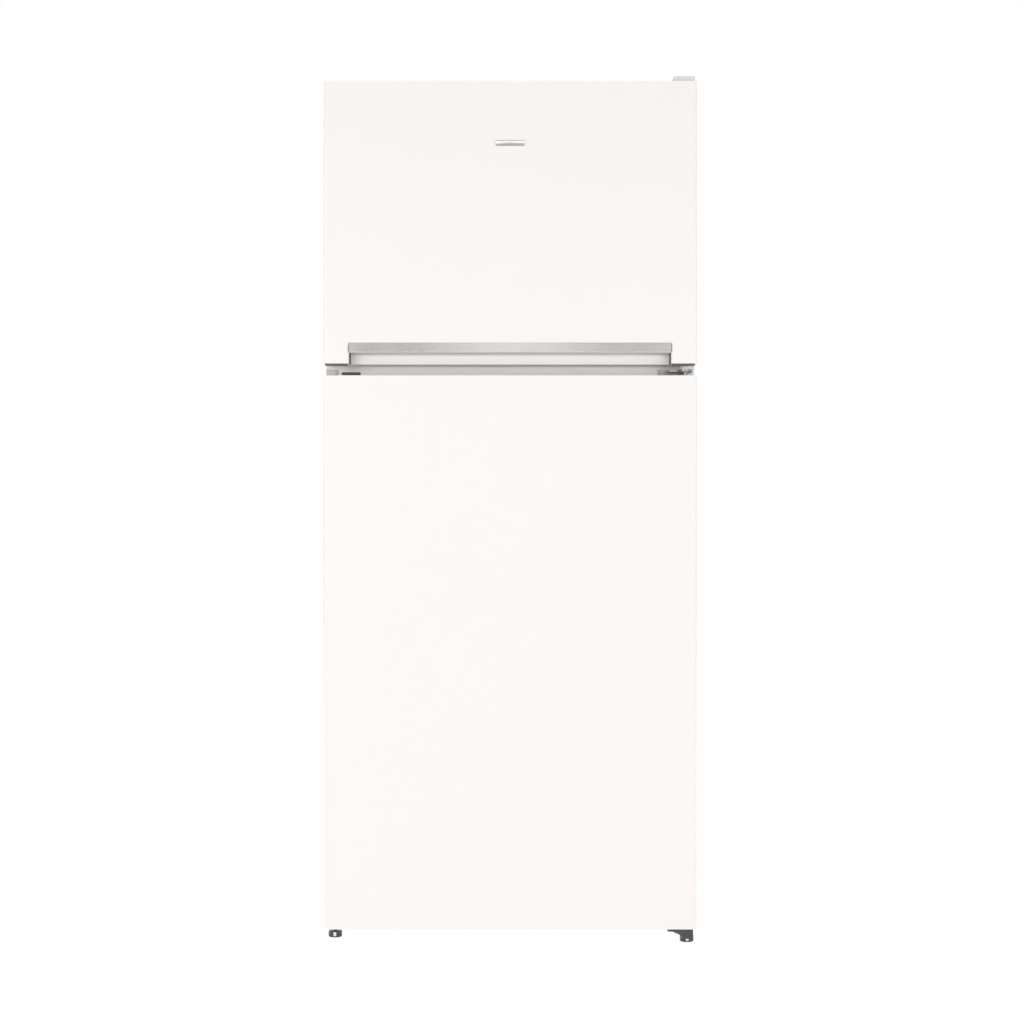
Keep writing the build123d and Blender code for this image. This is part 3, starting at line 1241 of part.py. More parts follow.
with BuildPart() as fridge_door_skin:
    door_skin(FRIDGE_DOOR)
fridge_door_skin.part.label = "fridge_door_skin"
export_step(fridge_door_skin.part, "parts/fridge_door_skin.step")

with BuildPart() as fridge_door_top_cap:
    end_cap(FRIDGE_DOOR[1], -1)
    # Finger trough along the top edge.
    trough_z = (FRIDGE_DOOR[1] - TROUGH_DEPTH - WALL, FRIDGE_DOOR[1] - DOOR_RIM / 2)
    block(
        (-TROUGH_HALF - WALL, TROUGH_HALF + WALL),
        (TROUGH_Y[0] - WALL, TROUGH_Y[1] + WALL),
        trough_z,
    )
    block(
        (-TROUGH_HALF, TROUGH_HALF),
        TROUGH_Y,
        (trough_z[0] + WALL, FRIDGE_DOOR[1] + 1),
        mode=Mode.SUBTRACT,
    )
fridge_door_top_cap.part.label = "fridge_door_top_cap"
export_step(fridge_door_top_cap.part, "parts/fridge_door_top_cap.step")

with BuildPart() as fridge_door_bottom_cap:
    end_cap(FRIDGE_DOOR[0], 1)
fridge_door_bottom_cap.part.label = "fridge_door_bottom_cap"
export_step(fridge_door_bottom_cap.part, "parts/fridge_door_bottom_cap.step")

with BuildPart() as fridge_door_foam:
    door_foam(FRIDGE_DOOR)
fridge_door_foam.part.label = "fridge_door_foam"
export_step(fridge_door_foam.part, "parts/fridge_door_foam.step")

with BuildPart() as fridge_door_liner:
    door_liner(FRIDGE_DOOR, FRIDGE_DIKE)
    round_dike(fridge_door_liner)
    hollow_dike(FRIDGE_DIKE, FRIDGE_BALCONIES)
fridge_door_liner.part.label = "fridge_door_liner"
export_step(fridge_door_liner.part, "parts/fridge_door_liner.step")

with BuildPart() as fridge_door_gasket:
    frame((Y_DOOR_BACK, Y_FACE - 0.3), GASKET_HALF_WIDTH, FRIDGE_GASKET, GASKET_WIDTH, 12)
fridge_door_gasket.part.label = "fridge_door_gasket"
export_step(fridge_door_gasket.part, "parts/fridge_door_gasket.step")

with BuildPart() as fridge_door_bushes:
    bush(FRIDGE_DOOR[1], -1, 1.5)
    bush(FRIDGE_DOOR[0], 1, FRIDGE_DOOR[0] - BOTTOM_PLATE_Z[1] - 0.3)
fridge_door_bushes.part.label = "fridge_door_bushes"
export_step(fridge_door_bushes.part, "parts/fridge_door_bushes.step")

# ------------------------------------------------------------------ fridge door fittings
DAIRY_FLOOR = max(FRIDGE_BALCONIES)
LID_AXIS = (-283, DAIRY_FLOOR + 66)  # Y and Z
LID_PIN = 2.5
EAR_X = (BALCONY_HALF_WIDTH - BALCONY_WALL, BALCONY_HALF_WIDTH)
LID_HALF = EAR_X[0] - 2

with BuildPart() as fridge_balconies:
    for floor, height in FRIDGE_BALCONIES.items():
        balcony(floor, height)
    # Ears on the dairy balcony, bored for the lid's pins.
    ear_z = (DAIRY_FLOOR + 40, LID_AXIS[1] + 6)
    for side in (-1, 1):
        x = sorted(side * edge for edge in EAR_X)
        block(x, (BALCONY_SPAN[0], LID_AXIS[0] + 6), ear_z)
        rod_x(*LID_AXIS, x, LID_PIN + FIT, mode=Mode.SUBTRACT)
fridge_balconies.part.label = "fridge_balconies"
export_step(fridge_balconies.part, "parts/fridge_balconies.step")

LID_TOP = LID_AXIS[1] + 1.25
LID_FRONT = BALCONY_SPAN[1] + 4
LID_SKIRT = DAIRY_FLOOR + 27  # lower edge of the lid's front
with BuildPart() as dairy_lid:
    with BuildSketch(Plane.YZ) as profile:
        with Locations(((LID_AXIS[0] + LID_FRONT) / 2, (LID_SKIRT + LID_TOP) / 2)):
            Rectangle(LID_FRONT - LID_AXIS[0], LID_TOP - LID_SKIRT)
        fillet(profile.vertices().group_by(Axis.X)[-1].sort_by(Axis.Y)[-1:], radius=6)
        with Locations(
            (
                (LID_AXIS[0] + LID_FRONT) / 2 - BALCONY_WALL - 5,
                (LID_SKIRT + LID_TOP) / 2 - BALCONY_WALL - 5,
            )
        ):
            Rectangle(
                LID_FRONT - LID_AXIS[0] + 10,
                LID_TOP - LID_SKIRT + 10,
                mode=Mode.SUBTRACT,
            )
    extrude(amount=LID_HALF, both=True)
    rod_x(*LID_AXIS, (-LID_HALF, LID_HALF), LID_PIN)
    rod_x(*LID_AXIS, (-EAR_X[1] + GAP, EAR_X[1] - GAP), LID_PIN)
dairy_lid.part.label = "dairy_lid"
export_step(dairy_lid.part, "parts/dairy_lid.step")

GUARD_FLOOR = min(FRIDGE_BALCONIES)
GUARD_TOP = GUARD_FLOOR + FRIDGE_BALCONIES[GUARD_FLOOR]
GUARD_CLEAR = 0.4
with BuildPart() as bottle_guard:
    # A saddle over the balcony's front wall, with a divider standing behind it.
    wall_y = (BALCONY_SPAN[1] - BALCONY_WALL, BALCONY_SPAN[1])
    block(
        (-12, 12),
        (wall_y[0] - GUARD_CLEAR - WALL, wall_y[1] + GUARD_CLEAR + WALL),
        (GUARD_TOP - 20, GUARD_TOP + GUARD_CLEAR + WALL),
    )
    block(
        (-12, 12),
        (wall_y[0] - GUARD_CLEAR, wall_y[1] + GUARD_CLEAR),
        (GUARD_TOP - 20, GUARD_TOP + GUARD_CLEAR),
        mode=Mode.SUBTRACT,
    )
    block(
        (-WALL / 2, WALL / 2),
        (BALCONY_SPAN[0] + 20, wall_y[0] - GUARD_CLEAR - 1),
        (GUARD_FLOOR + 20, GUARD_TOP),
    )
bottle_guard.part.label = "bottle_guard"
export_step(bottle_guard.part, "parts/bottle_guard.step")

EGG_FLOOR = sorted(FRIDGE_BALCONIES)[2] + BALCONY_WALL
EGG_PITCH = (40, 42)
with BuildPart() as egg_tray:
    with BuildSketch(Plane.XY.offset(EGG_FLOOR)) as plan:
        with Locations((-140, sum(BALCONY_SPAN) / 2)):
            RectangleRounded(5 * EGG_PITCH[0] + 10, 2 * EGG_PITCH[1] + 6, 14)
    extrude(plan.sketch, amount=22)
    fillet(egg_tray.edges().group_by(Axis.Z)[-1], radius=3)
    with Locations((-140, sum(BALCONY_SPAN) / 2, EGG_FLOOR + 30)):
        with GridLocations(*EGG_PITCH, 5, 2):
            Sphere(21, mode=Mode.SUBTRACT)
egg_tray.part.label = "egg_tray"
export_step(egg_tray.part, "parts/egg_tray.step")
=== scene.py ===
import json
from math import cos, pi, radians, sin, tau

import bmesh
import bpy
from mathutils import Matrix, Vector


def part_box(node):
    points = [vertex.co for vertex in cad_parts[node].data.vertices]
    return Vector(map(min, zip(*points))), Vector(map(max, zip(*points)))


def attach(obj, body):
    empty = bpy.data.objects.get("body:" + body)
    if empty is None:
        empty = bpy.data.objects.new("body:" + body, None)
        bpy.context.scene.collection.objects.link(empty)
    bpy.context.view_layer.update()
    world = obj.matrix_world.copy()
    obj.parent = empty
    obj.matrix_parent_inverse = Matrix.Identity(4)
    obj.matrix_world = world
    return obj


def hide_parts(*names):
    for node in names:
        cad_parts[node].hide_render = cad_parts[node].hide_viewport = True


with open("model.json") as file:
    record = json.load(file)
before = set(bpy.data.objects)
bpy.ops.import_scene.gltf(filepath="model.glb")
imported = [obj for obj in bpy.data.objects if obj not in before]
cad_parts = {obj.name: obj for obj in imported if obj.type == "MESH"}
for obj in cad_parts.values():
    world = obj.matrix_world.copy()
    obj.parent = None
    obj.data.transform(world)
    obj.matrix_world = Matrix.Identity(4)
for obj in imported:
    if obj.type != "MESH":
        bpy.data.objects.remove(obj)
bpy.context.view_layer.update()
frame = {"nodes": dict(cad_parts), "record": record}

bl_info = {
    "name": "Top Freezer Refrigerator",
    "version": (1, 0, 0),
    "blender": (4, 5, 0),
    "location": "View3D > Sidebar > Fridge",
    "description": "Finishes, seals, bins and small fittings of a two-door refrigerator",
    "category": "Object",
}

MM = 0.001
NODES = frame["nodes"]
DOORS = ("freezer", "fridge")
UP = Vector((0, 0, 1))
FORWARD = Vector((0, -1, 0))


# ---------------------------------------------------------------- settings
def colour(name, description, default):
    """A colour setting."""
    return bpy.props.FloatVectorProperty(
        name=name, description=description, default=default, size=3, subtype="COLOR", min=0, max=1
    )


def length(name, description, default):
    """A length setting, in metres."""
    return bpy.props.FloatProperty(
        name=name, description=description, default=default, min=0, unit="LENGTH", precision=5
    )


def factor(name, description, default, top=1.0):
    """A plain number setting."""
    return bpy.props.FloatProperty(
        name=name, description=description, default=default, min=0, max=top
    )


class FridgeFinishSettings(bpy.types.PropertyGroup):
    """Colours and surface grain of the refrigerator's materials."""

    paint: colour("Paint", "Baked enamel on the doors and cabinet", (0.886, 0.851, 0.828))
    caps: colour("Door caps", "Moulded end caps of the doors", (0.885, 0.86, 0.835))
    liner: colour("Liner", "Vacuum-formed inside walls", (0.86, 0.87, 0.87))
    grip: colour("Finger pocket", "Light grey pocket under the freezer door", (0.90, 0.885, 0.87))
    strip: colour("Handle strip", "Anodised aluminium", (0.56, 0.545, 0.52))
    gasket: colour("Gasket", "Soft vinyl door seal", (0.70, 0.70, 0.69))
    clear: colour("Clear plastic", "Bins and balconies", (0.985, 0.993, 0.996))
    glass: colour("Shelf glass", "Toughened shelf glass", (0.95, 0.99, 0.97))
    enamel: colour("Compressor enamel", "Black enamel on the compressor", (0.012, 0.012, 0.013))
    foam: colour("Foam", "Polyurethane insulation", (0.80, 0.68, 0.42))
    orange_peel: factor("Orange peel", "Strength of the paint's ripple", 0.05)
    smudge: factor("Smudges", "Change of roughness over a surface", 0.08)


class FridgeShapeSettings(bpy.types.PropertyGroup):
    """Sizes of the pieces that this add-on models."""

    seal_radius: length("Seal corner", "Inner corner radius of a door seal", 14 * MM)
    bin_wall: length("Bin wall", "Wall of the crispers and the door shelves", 2.5 * MM)
    edge: length("Edge break", "Rounding of small moulded edges", 0.6 * MM)


class FridgeStageSettings(bpy.types.PropertyGroup):
    """Camera and studio lights."""

    camera_y: bpy.props.FloatProperty(
        name="Camera Y", description="Camera place in front", default=-4.345, unit="LENGTH"
    )
    camera_x: bpy.props.FloatProperty(
        name="Camera X", description="Camera place across", default=0.0037, unit="LENGTH"
    )
    camera_z: length("Camera height", "Camera height above the floor", 0.8137)
    lens: factor("Lens", "Focal length in millimetres", 75.1, top=300)
    key: factor("Key light", "Power of the left front softbox", 63.0, top=5000)
    fill: factor("Fill light", "Power of the right front and back softboxes", 50.0, top=5000)
    side: factor("Side lights", "Power of the side softboxes", 20.0, top=5000)
    top_light: factor("Top light", "Power of the overhead softbox", 36.0, top=5000)
    strip: factor("Strip lamp", "Power of the lamp that the handle strip mirrors", 3.4, top=500)
    world: factor("Surroundings", "Brightness of the studio as light", 0.38, top=10)
    floor_glow: factor("Floor glow", "Light that the floor gives off", 0.86, top=10)


def finishes():
    """The finish settings."""
    return bpy.context.scene.fridge_finish


def shapes():
    """The shape settings."""
    return bpy.context.scene.fridge_shape


# ---------------------------------------------------------------- shader groups
FLOAT, VECTOR, COLOUR = "NodeSocketFloat", "NodeSocketVector", "NodeSocketColor"


def new_group(name, inputs, outputs):
    """A shader node group with named sockets, and its input and output nodes."""
    group = bpy.data.node_groups.new(name, "ShaderNodeTree")
    for label, kind, value in inputs:
        socket = group.interface.new_socket(label, in_out="INPUT", socket_type=kind)
        socket.default_value = value
    for label, kind in outputs:
        group.interface.new_socket(label, in_out="OUTPUT", socket_type=kind)
    return group, group.nodes.new("NodeGroupInput"), group.nodes.new("NodeGroupOutput")


def feed(group, value, socket):
    """Links a value's socket to another one, or sets that one to a plain number."""
    if isinstance(value, (int, float)):
        socket.default_value = value
    else:
        group.links.new(value, socket)


def noise(group, vector, scale, detail):
    """Noise from 0 to 1, on a vector."""
    node = group.nodes.new("ShaderNodeTexNoise")
    group.links.new(vector, node.inputs["Vector"])
    feed(group, scale, node.inputs["Scale"])
    feed(group, detail, node.inputs["Detail"])
    return node.outputs["Fac"]


def worked_out(group, operation, first, second):
    """The result of a sum on two values."""
    node = group.nodes.new("ShaderNodeMath")
    node.operation = operation
    feed(group, first, node.inputs[0])
    feed(group, second, node.inputs[1])
    return node.outputs["Value"]


def scaled(group, value, low, high):
    """Maps a 0 to 1 value onto the range between two others."""
    node = group.nodes.new("ShaderNodeMapRange")
    group.links.new(value, node.inputs["Value"])
    feed(group, low, node.inputs["To Min"])
    feed(group, high, node.inputs["To Max"])
    return node.outputs["Result"]


def brightened(group, shade, gain):
    """A colour with its brightness multiplied."""
    node = group.nodes.new("ShaderNodeHueSaturation")
    group.links.new(shade, node.inputs["Color"])
    group.links.new(gain, node.inputs["Value"])
    return node.outputs["Color"]


def tone_group():
    """Broad, faint change of tone and gloss over a surface."""
    group, source, sink = new_group(
        "Surface tone",
        [
            ("Vector", VECTOR, (0, 0, 0)),
            ("Colour", COLOUR, (0.8, 0.8, 0.8, 1)),
            ("Shift", FLOAT, 0.03),
            ("Scale", FLOAT, 6.0),
            ("Roughness", FLOAT, 0.4),
            ("Smudge", FLOAT, 0.08),
        ],
        [("Colour", COLOUR), ("Roughness", FLOAT)],
    )
    link = group.links.new
    given = source.outputs
    broad = noise(group, given["Vector"], given["Scale"], 4)
    darker = worked_out(group, "SUBTRACT", 1, given["Shift"])
    lighter = worked_out(group, "ADD", 1, given["Shift"])
    shade = brightened(group, given["Colour"], scaled(group, broad, darker, lighter))
    link(shade, sink.inputs["Colour"])
    # Wiped streaks: a finer noise moves the roughness both ways.
    finer = worked_out(group, "MULTIPLY", given["Scale"], 5)
    streaks = noise(group, given["Vector"], finer, 6)
    glossier = worked_out(group, "SUBTRACT", given["Roughness"], given["Smudge"])
    duller = worked_out(group, "ADD", given["Roughness"], given["Smudge"])
    link(scaled(group, streaks, glossier, duller), sink.inputs["Roughness"])
    return group


def grain_group():
    """Height of a fine grain, stretched by a vector: orange peel, moulding texture or brushing."""
    group, source, sink = new_group(
        "Fine grain",
        [
            ("Vector", VECTOR, (0, 0, 0)),
            ("Stretch", VECTOR, (1, 1, 1)),
            ("Scale", FLOAT, 300.0),
        ],
        [("Height", FLOAT)],
    )
    link = group.links.new
    stretched = group.nodes.new("ShaderNodeVectorMath")
    stretched.operation = "MULTIPLY"
    link(source.outputs["Vector"], stretched.inputs[0])
    link(source.outputs["Stretch"], stretched.inputs[1])
    height = noise(group, stretched.outputs[0], source.outputs["Scale"], 3)
    link(height, sink.inputs["Height"])
    return group


def spangle_group():
    """Crystal flakes of galvanised sheet, each a little lighter or darker."""
    group, source, sink = new_group(
        "Zinc spangle",
        [
            ("Vector", VECTOR, (0, 0, 0)),
            ("Colour", COLOUR, (0.6, 0.6, 0.6, 1)),
            ("Scale", FLOAT, 60.0),
        ],
        [("Colour", COLOUR)],
    )
    link = group.links.new
    flakes = group.nodes.new("ShaderNodeTexVoronoi")
    link(source.outputs["Vector"], flakes.inputs["Vector"])
    link(source.outputs["Scale"], flakes.inputs["Scale"])
    split = group.nodes.new("ShaderNodeSeparateColor")
    link(flakes.outputs["Color"], split.inputs["Color"])
    gain = scaled(group, split.outputs["Red"], 0.92, 1.06)
    shade = brightened(group, source.outputs["Colour"], gain)
    link(shade, sink.inputs["Colour"])
    return group


def dust_group():
    """Settled dust, thickest on faces that look upwards."""
    group, source, sink = new_group(
        "Settled dust",
        [
            ("Vector", VECTOR, (0, 0, 0)),
            ("Colour", COLOUR, (0.5, 0.5, 0.5, 1)),
            ("Dust", COLOUR, (0.45, 0.42, 0.38, 1)),
            ("Amount", FLOAT, 0.4),
        ],
        [("Colour", COLOUR)],
    )
    link = group.links.new
    surface = group.nodes.new("ShaderNodeNewGeometry")
    direction = group.nodes.new("ShaderNodeSeparateXYZ")
    link(surface.outputs["Normal"], direction.inputs[0])
    upward = group.nodes.new("ShaderNodeMapRange")
    upward.inputs["From Min"].default_value = 0.2
    link(direction.outputs["Z"], upward.inputs["Value"])
    patches = noise(group, source.outputs["Vector"], 30, 6)
    patchy = worked_out(group, "MULTIPLY", upward.outputs["Result"], patches)
    amount = worked_out(group, "MULTIPLY", patchy, source.outputs["Amount"])
    mix = group.nodes.new("ShaderNodeMix")
    mix.data_type = "RGBA"
    link(amount, mix.inputs["Factor"])
    link(source.outputs["Colour"], mix.inputs["A"])
    link(source.outputs["Dust"], mix.inputs["B"])
    link(mix.outputs["Result"], sink.inputs["Colour"])
    return group


GROUPS = {}


def group_named(name):
    """A shader group, built the first time it is asked for."""
    makers = {
        "tone": tone_group,
        "grain": grain_group,
        "spangle": spangle_group,
        "dust": dust_group,
    }
    if name not in GROUPS:
        GROUPS[name] = makers[name]()
    return GROUPS[name]


def place_group(tree, name, vector):
    """A group node in a material, fed with Object coordinates."""
    node = tree.nodes.new("ShaderNodeGroup")
    node.node_tree = group_named(name)
    tree.links.new(vector, node.inputs["Vector"])
    return node


MATERIALS = {}


def finish_material(
    name, base, roughness, shift=0.02, tone_scale=6, smudge=None, grain=600, stretch=(1, 1, 1),
    bump=0.05, depth=0.0002, spangle=0, dust=0, shadow_tint=None, constants=None,
):
    """A procedural finish: toned colour, smudged gloss and a bumped grain on a Principled shader."""
    if name in MATERIALS:
        return MATERIALS[name]
    material = bpy.data.materials.new(name)
    material.use_nodes = True
    tree = material.node_tree
    link = tree.links.new
    shader = tree.nodes["Principled BSDF"]
    for label, value in (constants or {}).items():
        shader.inputs[label].default_value = value
    place = tree.nodes.new("ShaderNodeTexCoord").outputs["Object"]
    tone = place_group(tree, "tone", place)
    tone.inputs["Colour"].default_value = (*base, 1)
    tone.inputs["Shift"].default_value = shift
    tone.inputs["Scale"].default_value = tone_scale
    tone.inputs["Roughness"].default_value = roughness
    tone.inputs["Smudge"].default_value = finishes().smudge if smudge is None else smudge
    colour_out = tone.outputs["Colour"]
    if spangle:
        flakes = place_group(tree, "spangle", place)
        flakes.inputs["Scale"].default_value = spangle
        link(colour_out, flakes.inputs["Colour"])
        colour_out = flakes.outputs["Colour"]
    if dust:
        settled = place_group(tree, "dust", place)
        settled.inputs["Amount"].default_value = dust
        link(colour_out, settled.inputs["Colour"])
        colour_out = settled.outputs["Colour"]
    link(colour_out, shader.inputs["Base Color"])
    link(tone.outputs["Roughness"], shader.inputs["Roughness"])
    fine = place_group(tree, "grain", place)
    fine.inputs["Scale"].default_value = grain
    fine.inputs["Stretch"].default_value = stretch
    relief = tree.nodes.new("ShaderNodeBump")
    relief.inputs["Strength"].default_value = bump
    relief.inputs["Distance"].default_value = depth
    link(fine.outputs["Height"], relief.inputs["Height"])
    link(relief.outputs["Normal"], shader.inputs["Normal"])
    if shadow_tint:
        # Lamps shine through clear pieces, instead of casting their full shadow.
        light = tree.nodes.new("ShaderNodeLightPath")
        passing = tree.nodes.new("ShaderNodeBsdfTransparent")
        passing.inputs["Color"].default_value = (*shadow_tint, 1)
        mixed = tree.nodes.new("ShaderNodeMixShader")
        link(light.outputs["Is Shadow Ray"], mixed.inputs["Fac"])
        link(shader.outputs["BSDF"], mixed.inputs[1])
        link(passing.outputs["BSDF"], mixed.inputs[2])
        link(mixed.outputs["Shader"], tree.nodes["Material Output"].inputs["Surface"])
    MATERIALS[name] = material
    return material


# ---------------------------------------------------------------- finishes
METAL = {"Metallic": 1.0}
MOULDED = {"IOR": 1.49}


def paint():
    """Baked enamel on steel, with a faint orange peel under a clear gloss."""
    return finish_material(
        "baked_enamel", finishes().paint, 0.42, shift=0.006, tone_scale=2, grain=260,
        bump=finishes().orange_peel, depth=0.0006,
        constants={"Coat Weight": 0.25, "Coat Roughness": 0.25, "IOR": 1.5},
    )


def cap_plastic():
    """Moulded end caps, a shade warmer and duller than the enamel."""
    return finish_material(
        "cap_plastic", finishes().caps, 0.5, shift=0.01, grain=900, bump=0.12,
        constants=MOULDED,
    )


def white_plastic():
    """Small white mouldings."""
    return finish_material(
        "white_moulding", (0.84, 0.835, 0.81), 0.42, shift=0.012, grain=1100, bump=0.1,
        constants=MOULDED,
    )


def liner_plastic():
    """Vacuum-formed polystyrene with a soft sheen and a fine pebble."""
    return finish_material(
        "liner_polystyrene", finishes().liner, 0.3, shift=0.01, tone_scale=4, grain=420,
        bump=0.03, depth=0.0003, constants={"Coat Weight": 0.2, "Coat Roughness": 0.2, "IOR": 1.59},
    )


def grip_plastic():
    """Light grey pocket moulding with an eroded texture."""
    return finish_material(
        "grip_plastic", finishes().grip, 0.55, shift=0.02, grain=1400, bump=0.25,
        constants=MOULDED,
    )


def brushed_aluminium():
    """Anodised strip, brushed along its length."""
    return finish_material(
        "brushed_aluminium", finishes().strip, 0.22, shift=0.03, tone_scale=3, smudge=0.05,
        grain=500, stretch=(0.02, 3, 3), bump=0.18, depth=0.0001,
        constants=METAL,
    )


def bare_aluminium():
    """Mill-finish aluminium of the cooling coil."""
    return finish_material(
        "mill_aluminium", (0.80, 0.81, 0.82), 0.32, shift=0.05, tone_scale=20, grain=700,
        stretch=(1, 1, 0.1), bump=0.15, constants=METAL,
    )


def galvanised():
    """Zinc-coated sheet with spangle."""
    return finish_material(
        "galvanised_sheet", (0.60, 0.62, 0.63), 0.38, shift=0.04, tone_scale=5, grain=500,
        bump=0.06, spangle=130, dust=0.25, constants=METAL,
    )


def hinge_steel():
    """Grey-passivated steel of the hinges and brackets."""
    return finish_material(
        "hinge_steel", (0.30, 0.30, 0.31), 0.4, shift=0.08, tone_scale=40, grain=900,
        bump=0.12, constants=METAL,
    )


def screw_steel():
    """Dull zinc screws."""
    return finish_material(
        "screw_zinc", (0.36, 0.36, 0.36), 0.42, shift=0.06, tone_scale=80, grain=1500,
        bump=0.1, constants=METAL,
    )


def black_enamel():
    """Dipped black enamel, slightly lumpy, with dust on its top."""
    return finish_material(
        "black_enamel", finishes().enamel, 0.33, shift=0.15, tone_scale=25, grain=160,
        bump=0.16, depth=0.0006, dust=0.55,
        constants={"Coat Weight": 0.4, "Coat Roughness": 0.15},
    )


def condenser_paint():
    """Black powder coat on the condenser."""
    return finish_material(
        "condenser_paint", (0.02, 0.02, 0.021), 0.5, shift=0.12, tone_scale=30, grain=1200,
        bump=0.2, dust=0.45,
    )


def black_rubber():
    """Matt black rubber."""
    return finish_material(
        "black_rubber", (0.022, 0.022, 0.023), 0.75, shift=0.12, tone_scale=50, grain=1600,
        bump=0.3, constants={"IOR": 1.52},
    )


def grey_plastic():
    """Grey glass-filled mouldings: rollers, pan and spacers."""
    return finish_material(
        "grey_moulding", (0.34, 0.35, 0.36), 0.6, shift=0.04, tone_scale=30, grain=1300,
        bump=0.25, dust=0.2, constants={"IOR": 1.5},
    )


def bush_plastic():
    """Waxy acetal of the hinge bushes."""
    return finish_material(
        "bush_acetal", (0.72, 0.71, 0.68), 0.35, shift=0.02, tone_scale=60, grain=900, bump=0.06,
        constants={"Subsurface Weight": 0.1, "Subsurface Radius": (0.002, 0.002, 0.0015)},
    )


def gasket_vinyl():
    """Soft vinyl with a slightly greasy sheen."""
    return finish_material(
        "gasket_vinyl", finishes().gasket, 0.5, shift=0.04, tone_scale=15, grain=1000,
        bump=0.12, constants={"Sheen Weight": 0.15, "Sheen Roughness": 0.4, "IOR": 1.53},
    )


def clear_plastic():
    """Clear styrene of the bins and balconies, faintly blue on its edges."""
    return finish_material(
        "clear_styrene", finishes().clear, 0.05, shift=0.004, tone_scale=10, smudge=0.03,
        grain=250, bump=0.02, depth=0.0003, shadow_tint=(0.93, 0.94, 0.945),
        constants={"Transmission Weight": 1.0, "IOR": 1.36},
    )


def ice_plastic():
    """Milky, slightly blue plastic of the ice tray."""
    return finish_material(
        "ice_tray_plastic", (0.70, 0.82, 0.92), 0.35, shift=0.02, tone_scale=20, grain=900,
        bump=0.08,
        constants={"Subsurface Weight": 0.25, "Subsurface Radius": (0.004, 0.006, 0.008)},
    )


def shelf_glass():
    """Toughened glass with green depth."""
    return finish_material(
        "toughened_glass", finishes().glass, 0.03, shift=0.005, tone_scale=3, smudge=0.02,
        grain=40, bump=0.01, depth=0.0002, shadow_tint=(0.88, 0.92, 0.90),
        constants={"Transmission Weight": 1.0, "IOR": 1.45},
    )


def diffuser():
    """Frosted lamp cover."""
    return finish_material(
        "lamp_diffuser", (0.93, 0.94, 0.92), 0.45, shift=0.01, tone_scale=20, grain=700,
        stretch=(1, 0.05, 1), bump=0.25,
        constants={
            "Transmission Weight": 0.6,
            "IOR": 1.49,
            "Emission Color": (1, 0.98, 0.93, 1),
            "Emission Strength": 0.3,
        },
    )


def foam_core():
    """Rigid foam with open cells where it shows."""
    return finish_material(
        "insulation_foam", finishes().foam, 0.85, shift=0.08, tone_scale=35, grain=350,
        bump=0.6, depth=0.001,
    )


def copper():
    """Drawn copper pipe, dulled in places."""
    return finish_material(
        "copper_pipe", (0.72, 0.36, 0.20), 0.3, shift=0.18, tone_scale=45, smudge=0.12,
        grain=800, bump=0.08, constants=METAL,
    )


def satin_badge():
    """Satin silver of the badge and of the foot studs."""
    return finish_material(
        "satin_badge", (0.70, 0.70, 0.69), 0.36, shift=0.02, tone_scale=30, smudge=0.05,
        grain=900, stretch=(0.05, 2, 2), bump=0.12, depth=0.0001, constants=METAL,
    )


def cover_white():
    """Neutral white of the hinge cover."""
    return finish_material(
        "shroud_white", (0.80, 0.80, 0.79), 0.42, shift=0.012, grain=1100, bump=0.1,
    )


def cap_grey():
    """Light grey covers of the spare holes."""
    return finish_material(
        "cover_grey", (0.58, 0.57, 0.55), 0.5, shift=0.02, tone_scale=40, grain=1200, bump=0.15,
    )


def seam_grey():
    """Mid grey end pieces of the handle strip: painted shade of the gap between the strip and the
    door skin.
    """
    return finish_material(
        "seam_grey", (0.33, 0.32, 0.31), 0.5, shift=0.03, tone_scale=40, grain=1200, bump=0.15,
    )


def foot_black():
    """Glossy black coating of the front feet and their brackets."""
    return finish_material(
        "foot_black", (0.03, 0.03, 0.031), 0.3, shift=0.1, tone_scale=60, grain=900, bump=0.1,
        dust=0.1, constants={"Coat Weight": 0.5, "Coat Roughness": 0.12},
    )


def shadow_plastic():
    """Dark plugs and slots of the spare hinge holes, and painted shade: the dark pieces standing in
    for the shadow at the pocket ends and in the gap under the freezer door.
    """
    return finish_material(
        "dark_plug", (0.10, 0.097, 0.092), 0.55, shift=0.1, tone_scale=60, grain=1400, bump=0.2,
    )


SLOT_FINISH = {
    "painted_sheet": paint,
    "galvanised_sheet": galvanised,
    "foam": foam_core,
    "liner_plastic": liner_plastic,
    "compressor_paint": black_enamel,
    "black_rubber": black_rubber,
    "grey_plastic": grey_plastic,
    "condenser_paint": condenser_paint,
    "copper": copper,
    "bare_aluminium": bare_aluminium,
    "diffuser": diffuser,
    "shelf_glass": shelf_glass,
    "zinc_steel": hinge_steel,
    "white_plastic": white_plastic,
    "screw_steel": screw_steel,
    "ice_plastic": ice_plastic,
    "clear_plastic": clear_plastic,
    "light_grey_plastic": grip_plastic,
    "gasket_vinyl": gasket_vinyl,
    "silver_strip": brushed_aluminium,
    "bush_plastic": bush_plastic,
}
NODE_FINISH = {
    "freezer_door_top_cap": cap_plastic,
    "fridge_door_top_cap": cap_plastic,
    "fridge_door_bottom_cap": cap_plastic,
    "foot_left": foot_black,
    "foot_right": foot_black,
    "bottom_brackets": foot_black,
}


# ---------------------------------------------------------------- mesh helpers
def finish_piece(name, bm, material, body, bevel=0.0, smooth=35):
    """Makes a bmesh an object that rides on a body, with smooth faces between its sharp edges."""
    mesh = bpy.data.meshes.new(name)
    bm.to_mesh(mesh)
    bm.free()
    mesh.shade_smooth()
    mesh.set_sharp_from_angle(angle=radians(smooth))
    mesh.materials.append(material)
    piece = bpy.data.objects.new(name, mesh)
    bpy.context.scene.collection.objects.link(piece)
    if bevel:
        edges = piece.modifiers.new("edge_break", "BEVEL")
        edges.width = bevel
        edges.segments = 2
        edges.limit_method = "ANGLE"
        edges.angle_limit = radians(50)
    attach(piece, body)
    return piece


def inset(bm, face, thickness, depth=0.0):
    """Insets a face, and sinks it where the depth is negative."""
    bmesh.ops.inset_individual(
        bm, faces=[face], thickness=thickness, depth=depth, use_even_offset=True
    )


